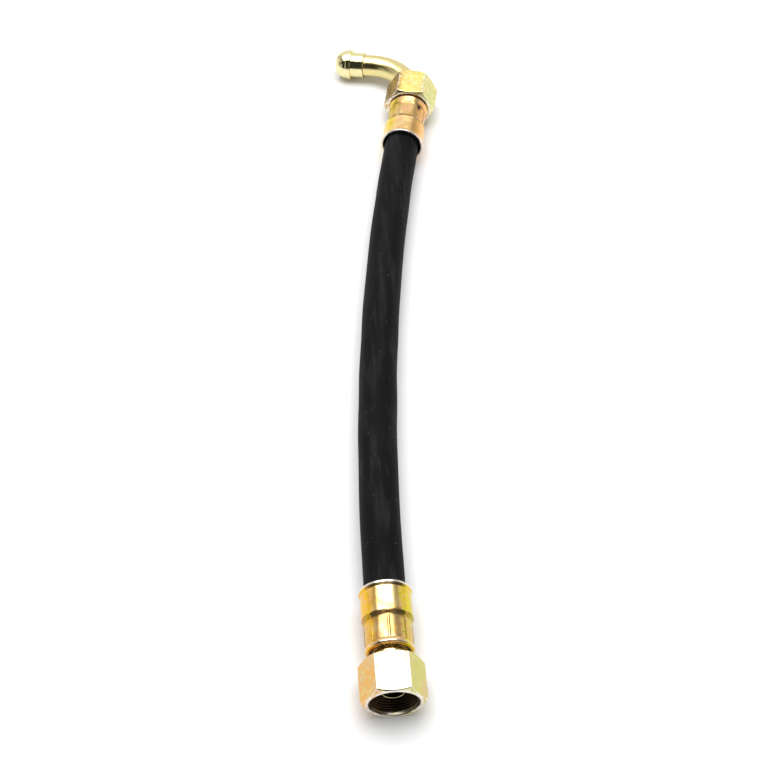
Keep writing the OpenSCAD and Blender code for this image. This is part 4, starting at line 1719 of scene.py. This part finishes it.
@dataclass
class Fittings:
    """All the metal pieces of the two ends, built and dressed."""

    layout: Layout
    effects: Effects
    ferrule: Ferrule = field(default_factory=Ferrule)
    elbow_ferrule: Ferrule = field(default_factory=lambda: Ferrule(
        band_h=1.08, neck_z=17.2, neck_end_z=19.1, mark_z=19.9, mark_end_z=32.4, end_round=0.6,
        stain=(5.41, 30.7),
    ))
    nut: SwivelNut = field(default_factory=SwivelNut)
    insert: Insert = field(default_factory=Insert)
    head: BallHead = field(default_factory=BallHead)
    port_depth: float = 20.0
    columns: int = 128
    spacing: float = 1.2
    made: dict[str, bpy.types.Material] = field(default_factory=dict)

    def finish(self, piece: bpy.types.Object, look: Finish) -> None:
        """Puts a finish on a piece and logs its face count and finish.

        Args:
            piece: The piece.
            look: Its finish, which is made once and kept by its name.
        """
        if look.name not in self.made:
            self.made[look.name] = look.material(self.effects)
        piece.data.materials.append(self.made[look.name])
        LOG.info("%s: %d faces, %s", piece.name, len(piece.data.polygons), look.name)

    def lathe(self, corners: Sequence[Corner]) -> np.ndarray:
        """Turns the grid of an insert or a nipple from the corners of its outline."""
        return turned(outline(corners, self.spacing), even_angles(self.columns))

    def build_straight(self) -> None:
        """Builds the straight fitting: ferrule, nut and nipple."""
        lay, place = self.layout, self.layout.straight
        half_die = pi / self.ferrule.dies
        ferrule = self.ferrule.build("straight_ferrule", place, pi / 2 + half_die)
        # the pale middle colour paints the highlight along the ferrule's top
        self.finish(ferrule, ZincFinish(
            "straight_ferrule_zinc", "ferrule_zinc", left=srgb(232, 184, 48), middle=srgb(246, 212, 150),
            right=srgb(214, 198, 44), blotch=srgb(234, 176, 122), patch=srgb(214, 160, 54),
            blotch_amount=0.6, wear=0.75, pits=0.12,
        ))
        rear = Matrix.Translation((0, 0, lay.ferrule_l + lay.straight_gap))
        nut = self.nut.build("straight_nut", "straight_nut", place.then(rear))
        self.finish(nut, ZincFinish(
            "straight_nut_zinc", "nut_zinc", left=srgb(224, 172, 92), middle=srgb(242, 236, 200),
            right=srgb(198, 194, 102), blotch=srgb(212, 198, 132), patch=srgb(214, 180, 134),
            blotch_scale=340.0, blotch_amount=0.75, patch_amount=0.6, drift=0.3, gloss=0.16, dull=0.30,
            wear=0.9, pits=0.02,
        ))
        collar, port = lay.nose_z - self.head.length, lay.nose_z - self.port_depth
        corners = self.insert.skin_corners() + [
            Corner(self.insert.sleeve_r, collar, 0.15), *self.head.corners(collar),
            Corner(self.head.port_r, port, 0.1), Corner(self.insert.tail_bore_r, port, 0.3),
        ]
        nipple = skin("straight_nipple_turned", self.lathe(corners), place)
        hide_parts("straight_nipple")
        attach(nipple, "root")
        self.finish(nipple, self.nose_look("straight_nipple_zinc"))

    def build_elbow(self) -> None:
        """Builds the elbow fitting: ferrule, nut, insert, tube, nose and both brazes."""
        lay, place = self.layout, self.layout.elbow
        ferrule = self.elbow_ferrule.build("elbow_ferrule", place, pi / 2)
        # the pale middle colour paints the highlight along the middle of this ferrule
        self.finish(ferrule, ZincFinish(
            "elbow_ferrule_zinc", "ferrule_zinc", left=srgb(250, 224, 44), middle=srgb(252, 219, 156),
            right=srgb(238, 184, 100), blotch=srgb(250, 182, 134), patch=srgb(206, 160, 80), drift=0.4,
            blotch_amount=0.7, wear=0.75, pits=0.06,
        ))
        rear = Matrix.Translation((0, 0, lay.ferrule_l + lay.elbow_gap))
        nut = self.nut.build("elbow_nut", "elbow_nut", place.then(rear))
        # the dark left colour paints the shaded floor under the elbow reflected in the nut's left flats
        self.finish(nut, ZincFinish(
            "elbow_nut_zinc", "nut_zinc", left=srgb(150, 122, 74), middle=srgb(250, 214, 116),
            right=srgb(206, 206, 126), blotch=srgb(250, 230, 182), patch=srgb(226, 192, 120),
            blotch_scale=520.0, blotch_amount=0.6, patch_amount=0.4, drift=0.2, gloss=0.22, dull=0.36,
            wear=0.8, pits=0.03,
        ))
        elbow = Elbow(lay, self.insert, self.head)
        corners = self.insert.socketed(elbow.insert_sleeve, elbow.socket_r, elbow.socket, elbow.groove)
        insert = skin("elbow_insert_turned", self.lathe(corners), place)
        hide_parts("elbow_insert")
        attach(insert, "root")
        self.finish(insert, self.nose_look("elbow_insert_zinc"))
        # a darker copy of the nose zinc, painting the shaded floor that the tube mirrors below
        self.finish(elbow.build_tube(), replace(
            self.nose_look("elbow_tube_zinc"), left=srgb(226, 208, 146), middle=srgb(226, 208, 146),
            right=srgb(214, 192, 132), gloss=0.19, dull=0.27,
        ))
        self.finish(elbow.build_nose(), self.nose_look("ball_nose_zinc"))
        braze = ZincFinish(
            "braze_alloy", "braze_metal", left=srgb(206, 176, 104), middle=srgb(206, 176, 104),
            right=srgb(206, 176, 104), blotch=srgb(170, 130, 70), gloss=0.25, dull=0.45, wear=0.0,
        )
        sleeve_end = Matrix.Translation((0, 0, self.insert.sleeve_z + elbow.insert_sleeve))
        self.finish(elbow.build_braze("insert_braze", place.then(sleeve_end)), braze)
        flipped = Matrix.Translation((0, 0, elbow.leg_out)) @ Matrix.Rotation(pi, 4, "X")
        self.finish(elbow.build_braze("nose_braze", elbow.bend_end.then(flipped)), braze)

    @staticmethod
    def nose_look(name: str) -> ZincFinish:
        """The smooth, pale zinc of the tube, the noses and the inserts.

        Args:
            name: The name of its material.

        Returns:
            The finish.
        """
        return ZincFinish(
            name, "nose_zinc", left=srgb(236, 226, 178), middle=srgb(236, 226, 174),
            right=srgb(234, 222, 168), blotch=srgb(226, 210, 144), patch=srgb(222, 212, 152),
            blotch_amount=0.35, drift=0.4, gloss=0.09, dull=0.15, wear=0.3, pits=0.012,
            relief_m=0.00001, hairlines=0.15,
        )


# ---------------------------------------------------------------------------------------------
# Studio
# ---------------------------------------------------------------------------------------------


@dataclass
class Studio:
    """The camera, the pale floor, the room that the metal mirrors and the lamp overhead.

    A direction in the room is told by its tilt, in radians from the horizon behind the camera over
    the top to the far one, and by its sideways part.
    """

    camera_at: Vector = field(default_factory=lambda: Vector((-30.6, -359.2, 726.5)) * MM)
    pitch: float = 51.91
    yaw: float = 4.15
    lens: float = 69.57
    sensor: float = 36.0
    floor_z: float = -16.0
    floor_side_m: float = 8.0
    paper: Colour = (0.90, 0.90, 0.90)
    paper_dullness: float = 0.9
    middle_m: Span = (0.01, 0.25)
    middle_half_l_m: float = 0.22
    paper_ends_m: Span = (0.04, 0.30)
    lamp_watts: float = 21.5
    lamp_sides_m: Span = (1.3, 1.0)
    lamp_at_m: tuple[float, float, float] = (0.0, 0.45, 1.4)
    ambient: float = 0.50
    room_level: float = 0.56
    box_level: float = 3.6
    far_level: float = 0.44
    strip_depth: float = 0.42
    dark_depth: float = 0.94

    def build_camera(self) -> None:
        """Places the camera."""
        data = bpy.data.cameras.new("camera")
        data.lens, data.sensor_width = self.lens, self.sensor
        camera = bpy.data.objects.new("camera", data)
        bpy.context.scene.collection.objects.link(camera)
        camera.location = self.camera_at
        camera.rotation_euler = (radians(90.0 - self.pitch), 0.0, radians(-self.yaw))
        bpy.context.scene.camera = camera

    def build_floor(self) -> None:
        """Lays the floor, which keeps the shadows and is white away from the object."""
        half, z = self.floor_side_m / 2, self.floor_z * MM
        corners = [(-half, -half, z), (half, -half, z), (half, half, z), (-half, half, z)]
        mesh = bpy.data.meshes.new("floor")
        mesh.from_pydata(corners, [], [(0, 1, 2, 3)])
        floor = bpy.data.objects.new("floor", mesh)
        bpy.context.scene.collection.objects.link(floor)
        mesh.materials.append(self.floor_paper())

    def floor_paper(self) -> bpy.types.Material:
        """Makes the floor's paper, which glows white to the camera away from the object.

        Returns:
            The material.
        """
        material = bpy.data.materials.new("floor_paper")
        material.use_nodes = True
        bench = Bench(material.node_tree)
        shader = material.node_tree.nodes["Principled BSDF"]
        bench.feed(shader.inputs["Base Color"], self.paper)
        shader.inputs["Roughness"].default_value = self.paper_dullness
        shader.inputs["Specular IOR Level"].default_value = 0.0
        x, y, _ = bench.parts(bench.add("ShaderNodeTexCoord").outputs["Object"])
        off = bench.apart(x, self.middle_m[0])
        beyond = bench.maths("SUBTRACT", bench.apart(y, self.middle_m[1]), self.middle_half_l_m)
        away = bench.maths("MAXIMUM", off, beyond)
        seen = bench.add("ShaderNodeLightPath").outputs["Is Camera Ray"]
        glow = bench.add("ShaderNodeEmission")
        glow.inputs["Strength"].default_value = 1.0
        mix = bench.add("ShaderNodeMixShader")
        bench.feed(mix.inputs[0], bench.maths("MULTIPLY", bench.rise(away, *self.paper_ends_m), seen))
        bench.feed(mix.inputs[1], shader.outputs[0])
        bench.feed(mix.inputs[2], glow.outputs[0])
        bench.feed(material.node_tree.nodes["Material Output"].inputs["Surface"], mix.outputs[0])
        return material

    def dark_side(self, bench: Bench, tilt: Value, x: Value) -> bpy.types.NodeSocket:
        """Draws the dark side of the room behind the camera.

        Args:
            bench: The bench of the world's tree.
            tilt: The tilt of a direction.
            x: Its sideways part.

        Returns:
            How far a direction is in the dark, from 0 to 1.
        """
        high_from, wide_to = (0.85, 1.0), (1.02, 0.93)
        middle, side_to = -0.30, (0.58, 0.42)
        dark_from, dark_to = (0.06, 0.16), (1.34, 1.40)
        wide = bench.maths("ABSOLUTE", x)
        high = bench.maths("MULTIPLY", bench.rise(tilt, *high_from), bench.rise(wide, *wide_to))
        span = bench.maths("MAXIMUM", high, bench.rise(bench.apart(x, middle), *side_to))
        return bench.maths("MULTIPLY", bench.window(tilt, dark_from, dark_to), span)

    def softbox(self, bench: Bench, tilt: Value, x: Value) -> bpy.types.NodeSocket:
        """Draws the softbox overhead.

        Args:
            bench: The bench of the world's tree.
            tilt: The tilt of a direction.
            x: Its sideways part.

        Returns:
            How far a direction is in the softbox, from 0 to 1.
        """
        box_from, box_to, middle, side_to = (1.36, 1.42), (2.19, 2.31), -0.08, (0.60, 0.44)
        box = bench.window(tilt, box_from, box_to)
        return bench.maths("MULTIPLY", box, bench.rise(bench.apart(x, middle), *side_to))

    def walls(self, bench: Bench, tilt: Value, x: Value) -> bpy.types.NodeSocket:
        """Draws the walls, which are paler at the far side and have a grey strip on each side.

        Args:
            bench: The bench of the world's tree.
            tilt: The tilt of a direction.
            x: Its sideways part.

        Returns:
            The light of the walls.
        """
        far_ends, strip_from, strip_to = (2.15, 2.45), (0.54, 0.62), (0.72, 0.82)
        wall = bench.maths("MULTIPLY_ADD", bench.rise(tilt, *far_ends), self.far_level, self.room_level)
        strips = bench.window(bench.maths("ABSOLUTE", x), strip_from, strip_to)
        shade = bench.maths("MULTIPLY_ADD", strips, -self.strip_depth, 1.0)
        return bench.maths("MULTIPLY", wall, shade)

    def build_room(self) -> None:
        """Paints the room: pale walls, with a softbox overhead and a dark side behind the camera."""
        world = bpy.data.worlds.new("room")
        bpy.context.scene.world = world
        world.use_nodes = True
        bench = Bench(world.node_tree)
        x, y, z = bench.parts(bench.add("ShaderNodeTexCoord").outputs["Generated"])
        tilt = bench.maths("ARCTAN2", z, bench.maths("MULTIPLY", y, -1.0))
        box = self.softbox(bench, tilt, x)
        level = bench.maths("MULTIPLY_ADD", box, self.box_level, self.walls(bench, tilt, x))
        shade = bench.maths("MULTIPLY_ADD", self.dark_side(bench, tilt, x), -self.dark_depth, 1.0)
        mirrored = bench.maths("MULTIPLY", level, shade)
        paths = bench.add("ShaderNodeLightPath").outputs
        strength: Value = self.ambient
        picks = (("Is Glossy Ray", mirrored), ("Is Transmission Ray", 1.0), ("Is Camera Ray", 1.0))
        for name, value in picks:
            strength = bench.mix(paths[name], strength, value)
        background = world.node_tree.nodes["Background"]
        bench.feed(background.inputs["Strength"], strength)
        bench.feed(background.inputs["Color"], (1.0, 1.0, 1.0))

    def build_lamp(self) -> None:
        """Hangs the large soft lamp, which casts the shadows."""
        data = bpy.data.lights.new("lamp", "AREA")
        data.shape = "RECTANGLE"
        data.size, data.size_y = self.lamp_sides_m
        data.energy = self.lamp_watts
        lamp = bpy.data.objects.new("lamp", data)
        bpy.context.scene.collection.objects.link(lamp)
        lamp.location = self.lamp_at_m
        lamp.visible_glossy = False

    def build(self) -> None:
        """Builds the floor, the room and the lamp, and sets the plain view transform."""
        self.build_floor()
        self.build_room()
        self.build_lamp()
        bpy.context.scene.view_settings.view_transform = "Standard"


def main() -> None:
    """Builds the assembly and its studio in order."""
    logging.basicConfig(level=logging.INFO, format="%(name)s: %(message)s")
    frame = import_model()
    layout, effects, studio = Layout(), Effects(), Studio()
    studio.build_camera()
    hose = Hose(layout)
    cover = hose.build()
    looks = {
        Stuff.COVER: RubberFinish("cover_black", "cover_rubber"),
        Stuff.INNER: RubberFinish("inner_black", "inner_rubber", base=srgb(40, 40, 40), dust_share=0.0),
        Stuff.BRAID: BraidFinish(
            "brassed_wire", "braid_wire", centre_x_m=layout.arc_r * MM, centre_y_m=layout.nose_z * MM
        ),
    }
    hose.dress(cover, frame, {stuff: look.material(effects) for stuff, look in looks.items()})
    fittings = Fittings(layout, effects)
    fittings.build_straight()
    fittings.build_elbow()
    studio.build()


if __name__ == "__main__":
    main()
